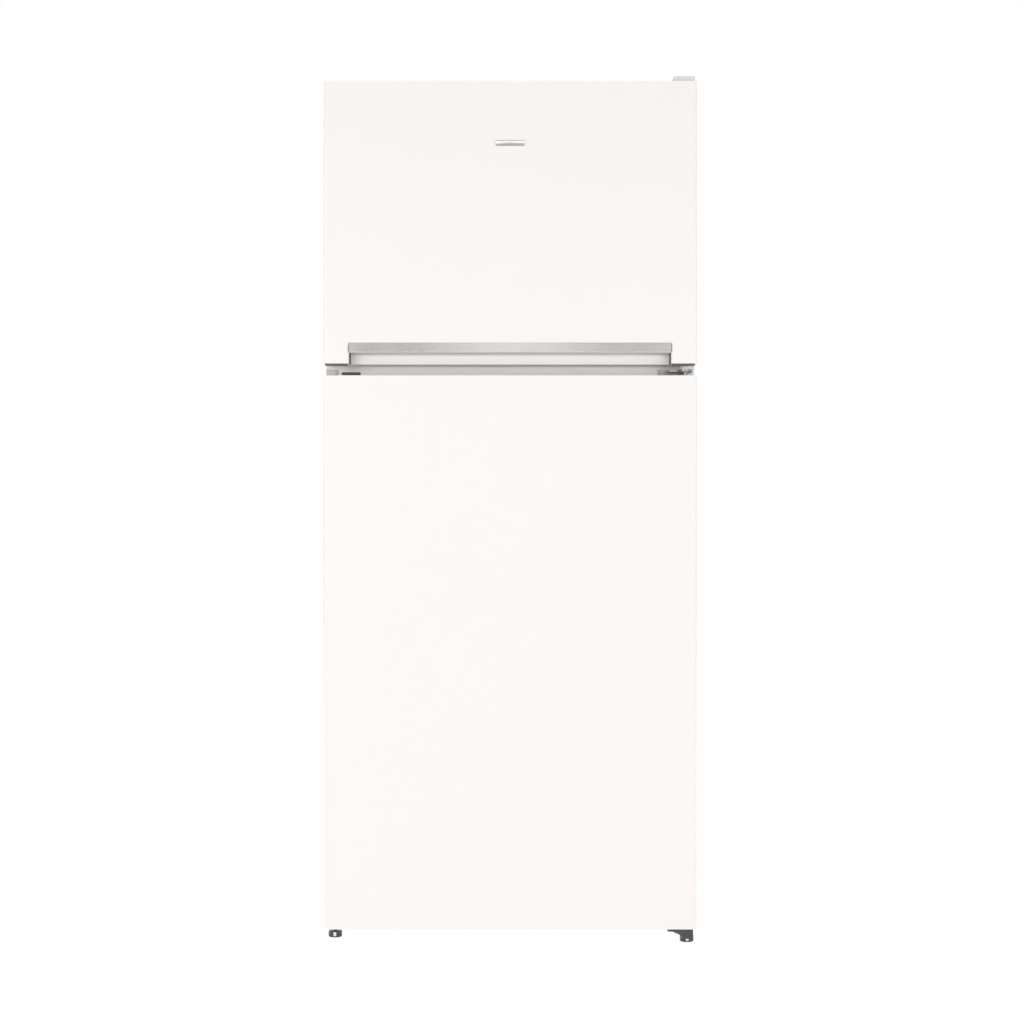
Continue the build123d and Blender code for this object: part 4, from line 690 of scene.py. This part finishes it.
def add_box(bm, low, high):
    """A block between two corners, and its vertices."""
    centre = (Vector(low) + Vector(high)) / 2
    size = Vector(high) - Vector(low)
    matrix = Matrix.Translation(centre) @ Matrix.Diagonal((*size, 1))
    return bmesh.ops.create_cube(bm, size=1, matrix=matrix)["verts"]


def edges_of(verts):
    """The edges at these vertices, each of them once."""
    return list(dict.fromkeys(edge for vert in verts for edge in vert.link_edges))


def edges_along(verts, direction):
    """The edges at these vertices that run along a direction."""
    return [
        edge for edge in edges_of(verts)
        if abs((edge.verts[0].co - edge.verts[1].co).dot(direction)) > edge.calc_length() / 2
    ]


def face_furthest(bm, direction):
    """The face whose middle lies furthest in a direction."""
    return max(bm.faces, key=lambda face: face.calc_center_median().dot(direction))


def bevel_edges(bm, edges, offset, segments):
    """Rounds edges."""
    bmesh.ops.bevel(
        bm,
        geom=edges,
        offset=offset,
        offset_type="OFFSET",
        affect="EDGES",
        segments=segments,
        profile=0.5,
        material=-1,
        clamp_overlap=True,
    )


def closed_loop(bm, points):
    """A closed ring of edges through a few points."""
    verts = [bm.verts.new(point) for point in points]
    edges = [bm.edges.new((verts[i - 1], verts[i])) for i in range(len(verts))]
    return verts, edges


def extrude_ring(bm, geometry, offset):
    """Extrudes a ring of edges by an offset and gives the new ring's edges."""
    edges = [item for item in geometry if isinstance(item, bmesh.types.BMEdge)]
    made = bmesh.ops.extrude_edge_only(bm, edges=edges)["geom"]
    verts = [item for item in made if isinstance(item, bmesh.types.BMVert)]
    bmesh.ops.translate(bm, verts=verts, vec=offset)
    return [item for item in made if isinstance(item, bmesh.types.BMEdge) and item.is_boundary]


def seal(bm, distance=0.00001):
    """Merges doubled vertices and points all faces outwards."""
    bmesh.ops.remove_doubles(bm, verts=bm.verts, dist=distance)
    bmesh.ops.recalc_face_normals(bm, faces=bm.faces)


def join(bm, other):
    """Adds a second bmesh to the first and frees the second."""
    mesh = bpy.data.meshes.new("joined")
    other.to_mesh(mesh)
    other.free()
    bm.from_mesh(mesh)
    bpy.data.meshes.remove(mesh)


def spaced(low, high, count):
    """Evenly spaced places from low to high."""
    return [low + (high - low) * step / (count - 1) for step in range(count)]


def mirrored(side, places):
    """X places in metres, the lower first, from distances in millimetres to one side."""
    return sorted(side * place * MM for place in places)


def sweep_frame(profile, half_width, bottom, top, radius, steps=6):
    """A rounded rectangular frame facing the front, swept from a closed profile.

    The profile's points are (inwards from the frame's outer edge, Y).
    """
    bm = bmesh.new()
    points = [(-half_width + radius, y, bottom + inwards) for inwards, y in profile]
    _, ring = closed_loop(bm, points)
    across = 2 * (half_width - radius)
    rise = top - bottom - 2 * radius
    sides = (
        (Vector((across, 0, 0)), Vector((half_width - radius, 0, bottom + radius))),
        (Vector((0, 0, rise)), Vector((half_width - radius, 0, top - radius))),
        (Vector((-across, 0, 0)), Vector((radius - half_width, 0, top - radius))),
        (Vector((0, 0, -rise)), Vector((radius - half_width, 0, bottom + radius))),
    )
    for run, centre in sides:
        ring = extrude_ring(bm, ring, run)
        verts = list({vert for edge in ring for vert in edge.verts})
        turned = bmesh.ops.spin(
            bm,
            geom=verts + ring,
            cent=centre,
            axis=(0, -1, 0),
            dvec=(0, 0, 0),
            angle=pi / 2,
            steps=steps,
            use_merge=False,
            use_normal_flip=False,
            use_duplicate=False,
        )["geom_last"]
        ring = [item for item in turned if isinstance(item, bmesh.types.BMEdge)]
    seal(bm)
    return bm


def bar_along_x(bm, profile, left, right):
    """A bar with a closed (Y, Z) profile between two X places, capped at both ends."""
    _, ring = closed_loop(bm, [(left, y, z) for y, z in profile])
    bmesh.ops.contextual_create(bm, geom=ring)
    far = extrude_ring(bm, ring, Vector((right - left, 0, 0)))
    bmesh.ops.contextual_create(bm, geom=far)


def lathe(bm, profile, place, axis, steps=40):
    """Turns an open (radius, height) profile about an axis through place."""
    direction = Vector(axis).normalized()
    turn = direction.to_track_quat("Z", "Y").to_matrix().to_4x4()
    matrix = Matrix.Translation(place) @ turn
    verts = [bm.verts.new(matrix @ Vector((radius, 0, height))) for radius, height in profile]
    edges = [bm.edges.new(pair) for pair in zip(verts, verts[1:])]
    bmesh.ops.spin(
        bm,
        geom=verts + edges,
        cent=place,
        axis=direction,
        dvec=(0, 0, 0),
        angle=tau,
        steps=steps,
        use_merge=True,
        use_normal_flip=False,
        use_duplicate=False,
    )


def tray(bm, low, high, wall, corner, draw):
    """An open tray with rounded corners, whose sides draw in towards its floor."""
    verts = add_box(bm, low, high)
    middle = (Vector(low) + Vector(high)) / 2
    size = Vector(high) - Vector(low)
    bottom = [vert for vert in verts if vert.co.z < middle.z]
    draw_in = Vector((1 - 2 * draw / size.x, 1 - 2 * draw / size.y, 1))
    space = Matrix.Translation(-middle)
    bmesh.ops.scale(bm, vec=draw_in, space=space, verts=bottom)
    bevel_edges(bm, edges_along(verts, UP), corner, 6)
    mouth = face_furthest(bm, UP)
    bmesh.ops.inset_region(bm, faces=[mouth], thickness=wall, use_even_offset=True)
    hollow = bmesh.ops.extrude_face_region(bm, geom=[mouth])["geom"]
    sunk = [item for item in hollow if isinstance(item, bmesh.types.BMVert)]
    bmesh.ops.translate(bm, verts=sunk, vec=(0, 0, wall + low[2] - high[2]))
    bmesh.ops.scale(bm, vec=draw_in, space=space, verts=sunk)
    if mouth.is_valid:
        bmesh.ops.delete(bm, geom=[mouth], context="FACES_ONLY")
    bmesh.ops.recalc_face_normals(bm, faces=bm.faces)


def ring_frame(low, high, width, corner):
    """A flat rounded-rectangular ring of the given width, such as the rim of a bin."""
    bm = bmesh.new()
    bevel_edges(bm, edges_along(add_box(bm, low, high), UP), corner, 5)
    ends = [face_furthest(bm, direction) for direction in (UP, -UP)]
    for face in ends:
        inset(bm, face, width)
    loops = [edge for face in ends for edge in face.edges]
    bmesh.ops.delete(bm, geom=ends, context="FACES_ONLY")
    bmesh.ops.bridge_loops(bm, edges=loops)
    bmesh.ops.recalc_face_normals(bm, faces=bm.faces)
    return bm


def moulded_bin(low, high, corner, draw, rim, rim_height):
    """A clear bin: a drawn hollow tray under a flat rim that stands proud of it."""
    wall = shapes().bin_wall
    bm = bmesh.new()
    under_rim = high[2] - rim_height
    tray(
        bm, (low[0] + rim, low[1] + rim, low[2]), (high[0] - rim, high[1] - rim, under_rim),
        wall, corner, draw,
    )
    # A hair's gap keeps the rim's underside off the tray's edge.
    rim_low = (low[0], low[1], under_rim + 0.05 * MM)
    join(bm, ring_frame(rim_low, high, rim + wall, corner + rim))
    return bm


def rib(bm, low, high, round_by):
    """A straight raised rib with rounded edges."""
    verts = add_box(bm, low, high)
    bevel_edges(bm, edges_of(verts), round_by, 2)


# ---------------------------------------------------------------- operators
class FRIDGE_OT_stage(bpy.types.Operator):
    """Pale floor, soft studio lights and the camera"""

    bl_idname = "fridge.stage"
    bl_label = "Stage"
    bl_options = {"REGISTER", "UNDO"}

    FLOOR_HALF = 12
    DOORS_MIDDLE = (0, -0.35, 0.85)
    BODY_MIDDLE = (0, 0, 0.85)
    # Name, place, target, width and height in metres, and the setting that holds its power.
    SOFTBOXES = (
        ("key_softbox", (-2.55, -5.0, 1.5), DOORS_MIDDLE, (2.8, 0.6), "key"),
        ("fill_softbox", (2.48, -5.0, 1.4), DOORS_MIDDLE, (2.8, 0.6), "fill"),
        ("back_softbox", (-2.4, 4.4, 2.4), BODY_MIDDLE, (3.0, 3.0), "fill"),
        ("top_softbox", (0, 1.0, 4.5), BODY_MIDDLE, (2.6, 2.0), "top_light"),
        ("side_softbox_0", (-4.4, 0.3, 1.5), BODY_MIDDLE, (2.0, 2.4), "side"),
        ("side_softbox_2", (4.4, 0.3, 1.5), BODY_MIDDLE, (2.0, 2.4), "side"),
        # Tall and narrow, above the camera: its reflection brightens the middle of the strip.
        ("strip_lamp", (0, -4.7, 1.35), DOORS_MIDDLE, (0.30, 1.6), "strip"),
    )

    def execute(self, context):
        """Makes the stage."""
        stage = context.scene.fridge_stage
        self.floor(context, stage)
        self.surroundings(context, stage)
        for name, place, target, size, power in self.SOFTBOXES:
            self.softbox(context, name, place, target, size, getattr(stage, power))
        self.camera(context, stage)
        context.scene.view_settings.view_transform = "Standard"
        return {"FINISHED"}

    def floor(self, context, stage):
        """A pale floor that glows a little, so that it meets the backdrop without a line."""
        bm = bmesh.new()
        bmesh.ops.create_grid(bm, x_segments=1, y_segments=1, size=self.FLOOR_HALF)
        mesh = bpy.data.meshes.new("studio_floor")
        bm.to_mesh(mesh)
        bm.free()
        floor = bpy.data.objects.new("studio_floor", mesh)
        context.scene.collection.objects.link(floor)
        mesh.materials.append(
            finish_material(
                "studio_floor", (0.36, 0.36, 0.36), 0.8, shift=0.004, tone_scale=1, bump=0.01,
                constants={"Emission Color": (1, 1, 1, 1), "Emission Strength": stage.floor_glow},
            )
        )

    def surroundings(self, context, stage):
        """A white studio: full white behind the object, softer where it lights the object."""
        world = bpy.data.worlds.new("studio")
        world.use_nodes = True
        tree = world.node_tree
        backdrop = tree.nodes["Background"]
        backdrop.inputs["Color"].default_value = (1, 1, 1, 1)
        seen = tree.nodes.new("ShaderNodeLightPath").outputs["Is Camera Ray"]
        tree.links.new(scaled(tree, seen, stage.world, 1.0), backdrop.inputs["Strength"])
        context.scene.world = world

    def softbox(self, context, name, place, target, size, power):
        """A rectangular light that looks at the target."""
        light = bpy.data.lights.new(name, "AREA")
        light.shape = "RECTANGLE"
        light.size, light.size_y = size
        light.energy = power
        lamp = bpy.data.objects.new(name, light)
        lamp.location = place
        aim = Vector(target) - Vector(place)
        lamp.rotation_euler = aim.to_track_quat("-Z", "Y").to_euler()
        context.scene.collection.objects.link(lamp)

    def camera(self, context, stage):
        """A level camera in front of the doors."""
        lens = bpy.data.cameras.new("camera")
        lens.lens = stage.lens
        lens.sensor_width = 36
        lens.clip_end = 100
        camera = bpy.data.objects.new("camera", lens)
        camera.location = (stage.camera_x, stage.camera_y, stage.camera_z)
        camera.rotation_euler = (pi / 2, 0, 0)
        context.scene.collection.objects.link(camera)
        context.scene.camera = camera


class FRIDGE_OT_frame_finishes(bpy.types.Operator):
    """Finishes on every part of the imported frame"""

    bl_idname = "fridge.frame_finishes"
    bl_label = "Frame finishes"
    bl_options = {"REGISTER", "UNDO"}

    def execute(self, context):
        """Gives each part its own finish, or else that of its slot."""
        for entry in frame["record"]["subparts"]:
            node = entry["node"]
            finish = NODE_FINISH.get(node) or SLOT_FINISH[entry["material_slot"]]
            material = finish()
            mesh = NODES[node].data
            mesh.materials.clear()
            mesh.materials.append(material)
        return {"FINISHED"}


class FRIDGE_OT_gaskets(bpy.types.Operator):
    """Bellows seals with a bulb for the magnet, one for each door"""

    bl_idname = "fridge.gaskets"
    bl_label = "Door gaskets"
    bl_options = {"REGISTER", "UNDO"}

    # Across the seal, then from the door to the cabinet: root, folds, magnet bulb.
    PROFILE = (
        (4.0, 0.0), (15.0, 0.0), (15.6, 1.0), (13.8, 2.2), (16.0, 3.6), (14.2, 5.0), (17.2, 5.9),
        (18.0, 6.9), (18.0, 8.9), (17.2, 9.65), (1.2, 9.65), (0.0, 8.8), (0.0, 7.0), (1.0, 6.0),
        (3.6, 5.0), (1.6, 3.7), (3.6, 2.3), (2.2, 1.1),
    )

    def execute(self, context):
        """Makes both seals."""
        width = max(across for across, _ in self.PROFILE) * MM
        for door in DOORS:
            node = f"{door}_door_gasket"
            low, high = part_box(node)
            profile = [(across * MM, low[1] + out * MM) for across, out in self.PROFILE]
            bm = sweep_frame(profile, high[0], low[2], high[2], shapes().seal_radius + width)
            piece = finish_piece(
                f"{door}_seal", bm, gasket_vinyl(), f"{door}_door", smooth=25
            )
            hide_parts(node)
        return {"FINISHED"}


class FRIDGE_OT_crispers(bpy.types.Operator):
    """Two clear crispers with a rim, a pull lip and moulded ribs"""

    bl_idname = "fridge.crispers"
    bl_label = "Crispers"
    bl_options = {"REGISTER", "UNDO"}

    CORNER = 14 * MM
    DRAW = 5 * MM
    RIM = 5 * MM
    RIM_HEIGHT = 3 * MM
    LIP_HALF = 62 * MM
    # The pull lip's outline: back from the front face, and down from the top.
    LIP = ((0, 3), (0, 21), (3, 24), (4.6, 22), (2.6, 19), (2.6, 3))
    RIB_LEVELS = (24, 150)
    RIB_HEIGHT = 3
    RIB_INSET = 36 * MM
    RIB_DEPTHS = (6.6 * MM, 9.4 * MM)
    RIB_ROUND = 0.8 * MM

    def execute(self, context):
        """Makes both crispers."""
        for side in ("left", "right"):
            node = f"crisper_{side}"
            low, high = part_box(node)
            bm = moulded_bin(low, high, self.CORNER, self.DRAW, self.RIM, self.RIM_HEIGHT)
            middle = (low[0] + high[0]) / 2
            front = low[1]
            lip = [(front + back * MM, high[2] - down * MM) for back, down in self.LIP]
            bar_along_x(bm, lip, middle - self.LIP_HALF, middle + self.LIP_HALF)
            proud, sunk = self.RIB_DEPTHS
            for level in self.RIB_LEVELS:
                rib(
                    bm, (low[0] + self.RIB_INSET, front + proud, low[2] + level * MM),
                    (high[0] - self.RIB_INSET, front + sunk, low[2] + (level + self.RIB_HEIGHT) * MM),
                    self.RIB_ROUND,
                )
            bmesh.ops.recalc_face_normals(bm, faces=bm.faces)
            piece = finish_piece(
                f"{side}_crisper_bin", bm, clear_plastic(), node,
                bevel=shapes().edge,
            )
            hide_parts(node)
        return {"FINISHED"}


class FRIDGE_OT_balconies(bpy.types.Operator):
    """Clear door shelves with a flat rim and two ribs along the front"""

    bl_idname = "fridge.balconies"
    bl_label = "Door balconies"
    bl_options = {"REGISTER", "UNDO"}

    # Floor height and wall height of each shelf.
    LEVELS = {
        "freezer": ((1180, 75), (1380, 75)),
        "fridge": ((130, 95), (395, 75), (610, 75), (825, 60)),
    }
    CORNER = 12 * MM
    DRAW = 1.5 * MM
    RIM = 2 * MM
    RIM_HEIGHT = 5 * MM
    # The ribs' places as shares of the wall's height.
    RIB_SHARES = (0.3, 0.55)
    RIB_HEIGHT = 2.4 * MM
    RIB_INSET = 30 * MM
    RIB_DEPTHS = (3 * MM, 0.2 * MM)
    RIB_ROUND = 0.7 * MM

    def execute(self, context):
        """Makes the shelves of both doors."""
        for door, levels in self.LEVELS.items():
            node = f"{door}_balconies"
            low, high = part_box(node)
            made = bmesh.new()
            for floor, height in levels:
                bottom, top = floor * MM, (floor + height) * MM
                join(made, self.shelf((low[0], low[1], bottom), (high[0], high[1], top)))
            piece = finish_piece(
                f"{door}_door_shelves", made, clear_plastic(), f"{door}_door",
                bevel=shapes().edge,
            )
            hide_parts(node)
        return {"FINISHED"}

    def shelf(self, low, high):
        """One shelf with its ribs."""
        bm = moulded_bin(low, high, self.CORNER, self.DRAW, self.RIM, self.RIM_HEIGHT)
        sunk, proud = self.RIB_DEPTHS
        for share in self.RIB_SHARES:
            level = low[2] + share * (high[2] - low[2])
            rib(
                bm, (low[0] + self.RIB_INSET, high[1] - sunk, level),
                (high[0] - self.RIB_INSET, high[1] - proud, level + self.RIB_HEIGHT), self.RIB_ROUND,
            )
        return bm


class FRIDGE_OT_badge(bpy.types.Operator):
    """Blank satin badge on the freezer door"""

    bl_idname = "fridge.badge"
    bl_label = "Badge"
    bl_options = {"REGISTER", "UNDO"}

    CORNER = 3 * MM
    EDGE = 0.3 * MM
    BORDER = 1.6 * MM
    GROOVE_WIDTH = 0.4 * MM
    GROOVE_DEPTH = 0.15 * MM

    def execute(self, context):
        """Makes the badge."""
        bm = bmesh.new()
        verts = add_box(bm, *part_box("badge"))
        bevel_edges(bm, edges_along(verts, FORWARD), self.CORNER, 6)
        bevel_edges(bm, list(face_furthest(bm, FORWARD).edges), self.EDGE, 2)
        face = face_furthest(bm, FORWARD)
        # A shallow engraved border inside the edge.
        inset(bm, face, self.BORDER)
        inset(bm, face, self.GROOVE_WIDTH, -self.GROOVE_DEPTH)
        bmesh.ops.recalc_face_normals(bm, faces=bm.faces)
        piece = finish_piece(
            "blank_badge", bm, satin_badge(), "freezer_door", smooth=30
        )
        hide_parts("badge")
        return {"FINISHED"}


class FRIDGE_OT_gap_fittings(bpy.types.Operator):
    """Plugs over the spare hinge holes, and dark pieces of painted shade: a block under each end of
    the freezer door, the pocket end walls and the handle strip's grey ends
    """

    bl_idname = "fridge.gap_fittings"
    bl_label = "Gap fittings"
    bl_options = {"REGISTER", "UNDO"}

    # Distances from the middle of the door, in millimetres.
    # Places of the painted-shade pieces: dark blocks under the door's ends, dark pocket end walls and
    # grey strip ends.
    CORNER_SHADE_X = (304, 347)
    POCKET_SHADE_X = (300.2, 302.9)
    STRIP_SHADE_X = (301.9, 303.8)
    # The back wall of the finger pocket.
    POCKET_BACK = -314 * MM
    # Places of the covers at the cabinet's left.
    COVER_X = (-349.5 * MM, -328 * MM)
    SLOT_X = (-320 * MM, -284.5 * MM)
    TOP_PLUG_X = (-348 * MM, -333 * MM)
    TOP_PLUG_Y = (-276 * MM, -236 * MM)

    def execute(self, context):
        """Makes the small fittings between and above the doors."""
        for label, side in (("left", -1), ("right", 1)):
            self.corner_shade_block(label, side)
            self.pocket_end_shade(label, side)
            self.strip_end_shade(label, side)
        self.mullion_covers()
        self.top_plug()
        return {"FINISHED"}

    def corner_shade_block(self, label, side):
        """A dark block under one end of the freezer door, narrower towards its foot: painted shade,
        standing in for the shadow in the gap under the door.
        """
        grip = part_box("freezer_door_grip_cap")[0]
        ends = mirrored(side, self.CORNER_SHADE_X)
        bm = bmesh.new()
        verts = add_box(
            bm, (ends[0], grip[1] + 2 * MM, grip[2] - 4 * MM),
            (ends[1], grip[1] + 16 * MM, grip[2] + 0.2 * MM),
        )
        foot = [vert for vert in verts if vert.co.z < grip[2] - MM]
        middle = Vector((sum(ends) / 2, grip[1] + 9 * MM, 0))
        bmesh.ops.scale(bm, vec=(0.97, 0.8, 1), verts=foot, space=Matrix.Translation(-middle))
        finish_piece(
            f"{label}_corner_glide", bm, shadow_plastic(), "freezer_door",
            bevel=shapes().edge,
        )

    def pocket_end_shade(self, label, side):
        """The dark end wall of the finger pocket: painted shade, standing in for the shadow on the
        pocket's side wall.
        """
        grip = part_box("freezer_door_grip_cap")[0]
        strip_low, strip_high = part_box("handle_strip")
        foot = grip[2] + 0.4 * MM
        roof = strip_low[2] + 14 * MM
        front = grip[1] + 3 * MM
        outline = [
            (strip_high[1] - 0.5 * MM, foot), (self.POCKET_BACK, foot), (self.POCKET_BACK, roof),
            (strip_high[1] + MM, roof), (front, strip_low[2] - 0.6 * MM), (front, grip[2] + 4 * MM),
        ]
        self.door_bar(
            f"{label}_pocket_bumper", outline, mirrored(side, self.POCKET_SHADE_X), shadow_plastic(), 1 / 2
        )

    def strip_end_shade(self, label, side):
        """The grey end piece of the handle strip: painted shade of the gap between the strip and the
        door skin.
        """
        low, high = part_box("handle_strip")
        face = low[1] + 0.4 * MM
        outline = [
            (face, low[2] + 2 * MM), (face, high[2]), (high[1], high[2]), (high[1], low[2] + MM),
            (low[1] + 3 * MM, low[2] - 0.4 * MM),
        ]
        self.door_bar(
            f"{label}_strip_end", outline, mirrored(side, self.STRIP_SHADE_X), seam_grey(), 1 / 3
        )

    def door_bar(self, name, outline, span, material, share):
        """A bar on the freezer door, its edges broken by a share of the usual amount."""
        bm = bmesh.new()
        bar_along_x(bm, outline, *span)
        seal(bm)
        finish_piece(
            name, bm, material, "freezer_door", bevel=shapes().edge * share
        )

    def mullion_covers(self):
        """A cover over the spare hinge holes at the left of the mullion, and a slot beside it."""
        edge = shapes().edge
        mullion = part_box("front_rails")[0][1]
        door_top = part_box("fridge_door_top_cap")[1][2]
        left, right = self.COVER_X
        bm = bmesh.new()
        add_box(
            bm, (left, mullion - 6 * MM, door_top + 2.5 * MM),
            (right, mullion - 0.05 * MM, door_top + 14 * MM),
        )
        finish_piece(
            "spare_hinge_cover", bm, cap_grey(), "cabinet", bevel=3 * edge
        )
        left, right = self.SLOT_X
        bm = bmesh.new()
        verts = add_box(
            bm, (left, mullion - 2.6 * MM, door_top + 4.6 * MM),
            (right, mullion - 0.05 * MM, door_top + 10 * MM),
        )
        bevel_edges(bm, edges_along(verts, FORWARD), 2.3 * MM, 5)
        inset(bm, face_furthest(bm, FORWARD), 0.8 * MM, -1.2 * MM)
        finish_piece(
            "spare_slot_plug", bm, shadow_plastic(), "cabinet", bevel=edge / 2
        )

    def top_plug(self):
        """A plug over the spare top hinge holes."""
        shell_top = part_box("cabinet_shell")[1][2]
        left, right = self.TOP_PLUG_X
        front, back = self.TOP_PLUG_Y
        bm = bmesh.new()
        verts = add_box(bm, (left, front, shell_top), (right, back, shell_top + 3 * MM))
        bevel_edges(bm, edges_along(verts, UP), 4 * MM, 5)
        finish_piece(
            "spare_top_plug", bm, cap_plastic(), "cabinet",
            bevel=2 * shapes().edge,
        )


class FRIDGE_OT_foot_studs(bpy.types.Operator):
    """Bright grip studs round each front foot"""

    bl_idname = "fridge.foot_studs"
    bl_label = "Foot studs"
    bl_options = {"REGISTER", "UNDO"}

    STUDS = 4
    # A stud's outline, as radius and height, with its ends chamfered.
    OUTLINE = ((0, 0), (3.9, 0), (4.5, 0.6), (4.5, 7.9), (3.9, 8.5), (0, 8.5))
    # From the foot's edge to a stud's axis, and from the floor to its base.
    INSET = 3.9 * MM
    BASE = 2.4 * MM

    def execute(self, context):
        """Makes the studs of both feet."""
        outline = [(radius * MM, height * MM) for radius, height in self.OUTLINE]
        for side in ("left", "right"):
            low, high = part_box(f"foot_{side}")
            centre = Vector(((low[0] + high[0]) / 2, (low[1] + high[1]) / 2, self.BASE))
            reach = (high[0] - low[0]) / 2 - self.INSET
            bm = bmesh.new()
            for stud in range(self.STUDS):
                angle = stud * tau / self.STUDS
                outward = Vector((sin(angle), -cos(angle), 0))
                lathe(bm, outline, centre + outward * reach, UP, steps=28)
            seal(bm, 1e-6)
            finish_piece(
                f"{side}_foot_studs", bm, satin_badge(), f"foot_{side}", smooth=40
            )
        return {"FINISHED"}


class FRIDGE_OT_hinge_cover(bpy.types.Operator):
    """Low moulded cover over the top hinge, hollow underneath"""

    bl_idname = "fridge.hinge_cover"
    bl_label = "Top hinge cover"
    bl_options = {"REGISTER", "UNDO"}

    HEIGHT = 9.5 * MM
    CORNER = 6 * MM
    LID_ROUND = 3.2 * MM
    WALL = 1.5 * MM
    ROOF = 2 * MM

    def execute(self, context):
        """Makes the cover."""
        low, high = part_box("top_hinge_cover")
        top = low[2] + self.HEIGHT
        bm = bmesh.new()
        verts = add_box(bm, low, (high[0], high[1], top))
        bevel_edges(bm, edges_along(verts, UP), self.CORNER, 6)
        bevel_edges(bm, list(face_furthest(bm, UP).edges), self.LID_ROUND, 4)
        base = face_furthest(bm, -UP)
        inset(bm, base, self.WALL)
        hollow = bmesh.ops.extrude_discrete_faces(bm, faces=[base])["faces"][0]
        sunk = (0, 0, top - low[2] - self.ROOF)
        bmesh.ops.translate(bm, verts=list(hollow.verts), vec=sunk)
        seal(bm)
        piece = finish_piece(
            "top_hinge_shroud", bm, cover_white(), "cabinet", smooth=40
        )
        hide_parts("top_hinge_cover")
        return {"FINISHED"}


class FRIDGE_OT_back_screws(bpy.types.Operator):
    """Domed washer-head screws round the back panel"""

    bl_idname = "fridge.back_screws"
    bl_label = "Back panel screws"
    bl_options = {"REGISTER", "UNDO"}

    INSET = 7 * MM
    COLUMNS = 6
    ROWS = 10
    # A head's outline, as radius and height: round drive recess, dome and washer.
    HEAD = (
        (0, 0.3), (1.1, 0.3), (1.2, 2.1), (2.6, 1.7), (3.6, 0.6), (3.8, 0.45), (5.2, 0.4), (5.3, 0),
    )

    def execute(self, context):
        """Makes the screws."""
        low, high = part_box("back_panel")
        columns = spaced(low[0] + self.INSET, high[0] - self.INSET, self.COLUMNS)
        rows = spaced(low[2] + self.INSET, high[2] - self.INSET, self.ROWS)
        places = {(x, z) for x in columns for z in (rows[0], rows[-1])}
        places |= {(x, z) for x in (columns[0], columns[-1]) for z in rows}
        head = [(radius * MM, height * MM) for radius, height in self.HEAD]
        bm = bmesh.new()
        for x, z in sorted(places):
            lathe(bm, head, Vector((x, high[1], z)), -FORWARD, steps=16)
        seal(bm, 1e-6)
        finish_piece("back_panel_screws", bm, screw_steel(), "cabinet", smooth=40)
        return {"FINISHED"}


CLASSES = (
    FridgeFinishSettings,
    FridgeShapeSettings,
    FridgeStageSettings,
    FRIDGE_OT_stage,
    FRIDGE_OT_frame_finishes,
    FRIDGE_OT_gaskets,
    FRIDGE_OT_crispers,
    FRIDGE_OT_balconies,
    FRIDGE_OT_badge,
    FRIDGE_OT_gap_fittings,
    FRIDGE_OT_foot_studs,
    FRIDGE_OT_hinge_cover,
    FRIDGE_OT_back_screws,
)
OPERATORS = [cls for cls in CLASSES if issubclass(cls, bpy.types.Operator)]


class FRIDGE_PT_panel(bpy.types.Panel):
    """Steps that finish and furnish the refrigerator"""

    bl_label = "Fridge"
    bl_idname = "FRIDGE_PT_panel"
    bl_space_type = "VIEW_3D"
    bl_region_type = "UI"
    bl_category = "Fridge"

    def draw(self, context):
        """Lists the settings and the steps."""
        layout = self.layout
        for settings in ("fridge_finish", "fridge_shape", "fridge_stage"):
            group = getattr(context.scene, settings)
            box = layout.box()
            for label in group.__annotations__:
                box.prop(group, label)
        for operator in OPERATORS:
            layout.operator(operator.bl_idname)


def register():
    """Registers the add-on."""
    for cls in (*CLASSES, FRIDGE_PT_panel):
        bpy.utils.register_class(cls)
    bpy.types.Scene.fridge_finish = bpy.props.PointerProperty(type=FridgeFinishSettings)
    bpy.types.Scene.fridge_shape = bpy.props.PointerProperty(type=FridgeShapeSettings)
    bpy.types.Scene.fridge_stage = bpy.props.PointerProperty(type=FridgeStageSettings)


def unregister():
    """Removes the add-on."""
    del bpy.types.Scene.fridge_stage
    del bpy.types.Scene.fridge_shape
    del bpy.types.Scene.fridge_finish
    for cls in reversed((*CLASSES, FRIDGE_PT_panel)):
        bpy.utils.unregister_class(cls)


def main():
    """Registers the add-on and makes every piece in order."""
    register()
    for operator in OPERATORS:
        module, name = operator.bl_idname.split(".")
        getattr(getattr(bpy.ops, module), name)()


if __name__ == "__main__":
    main()
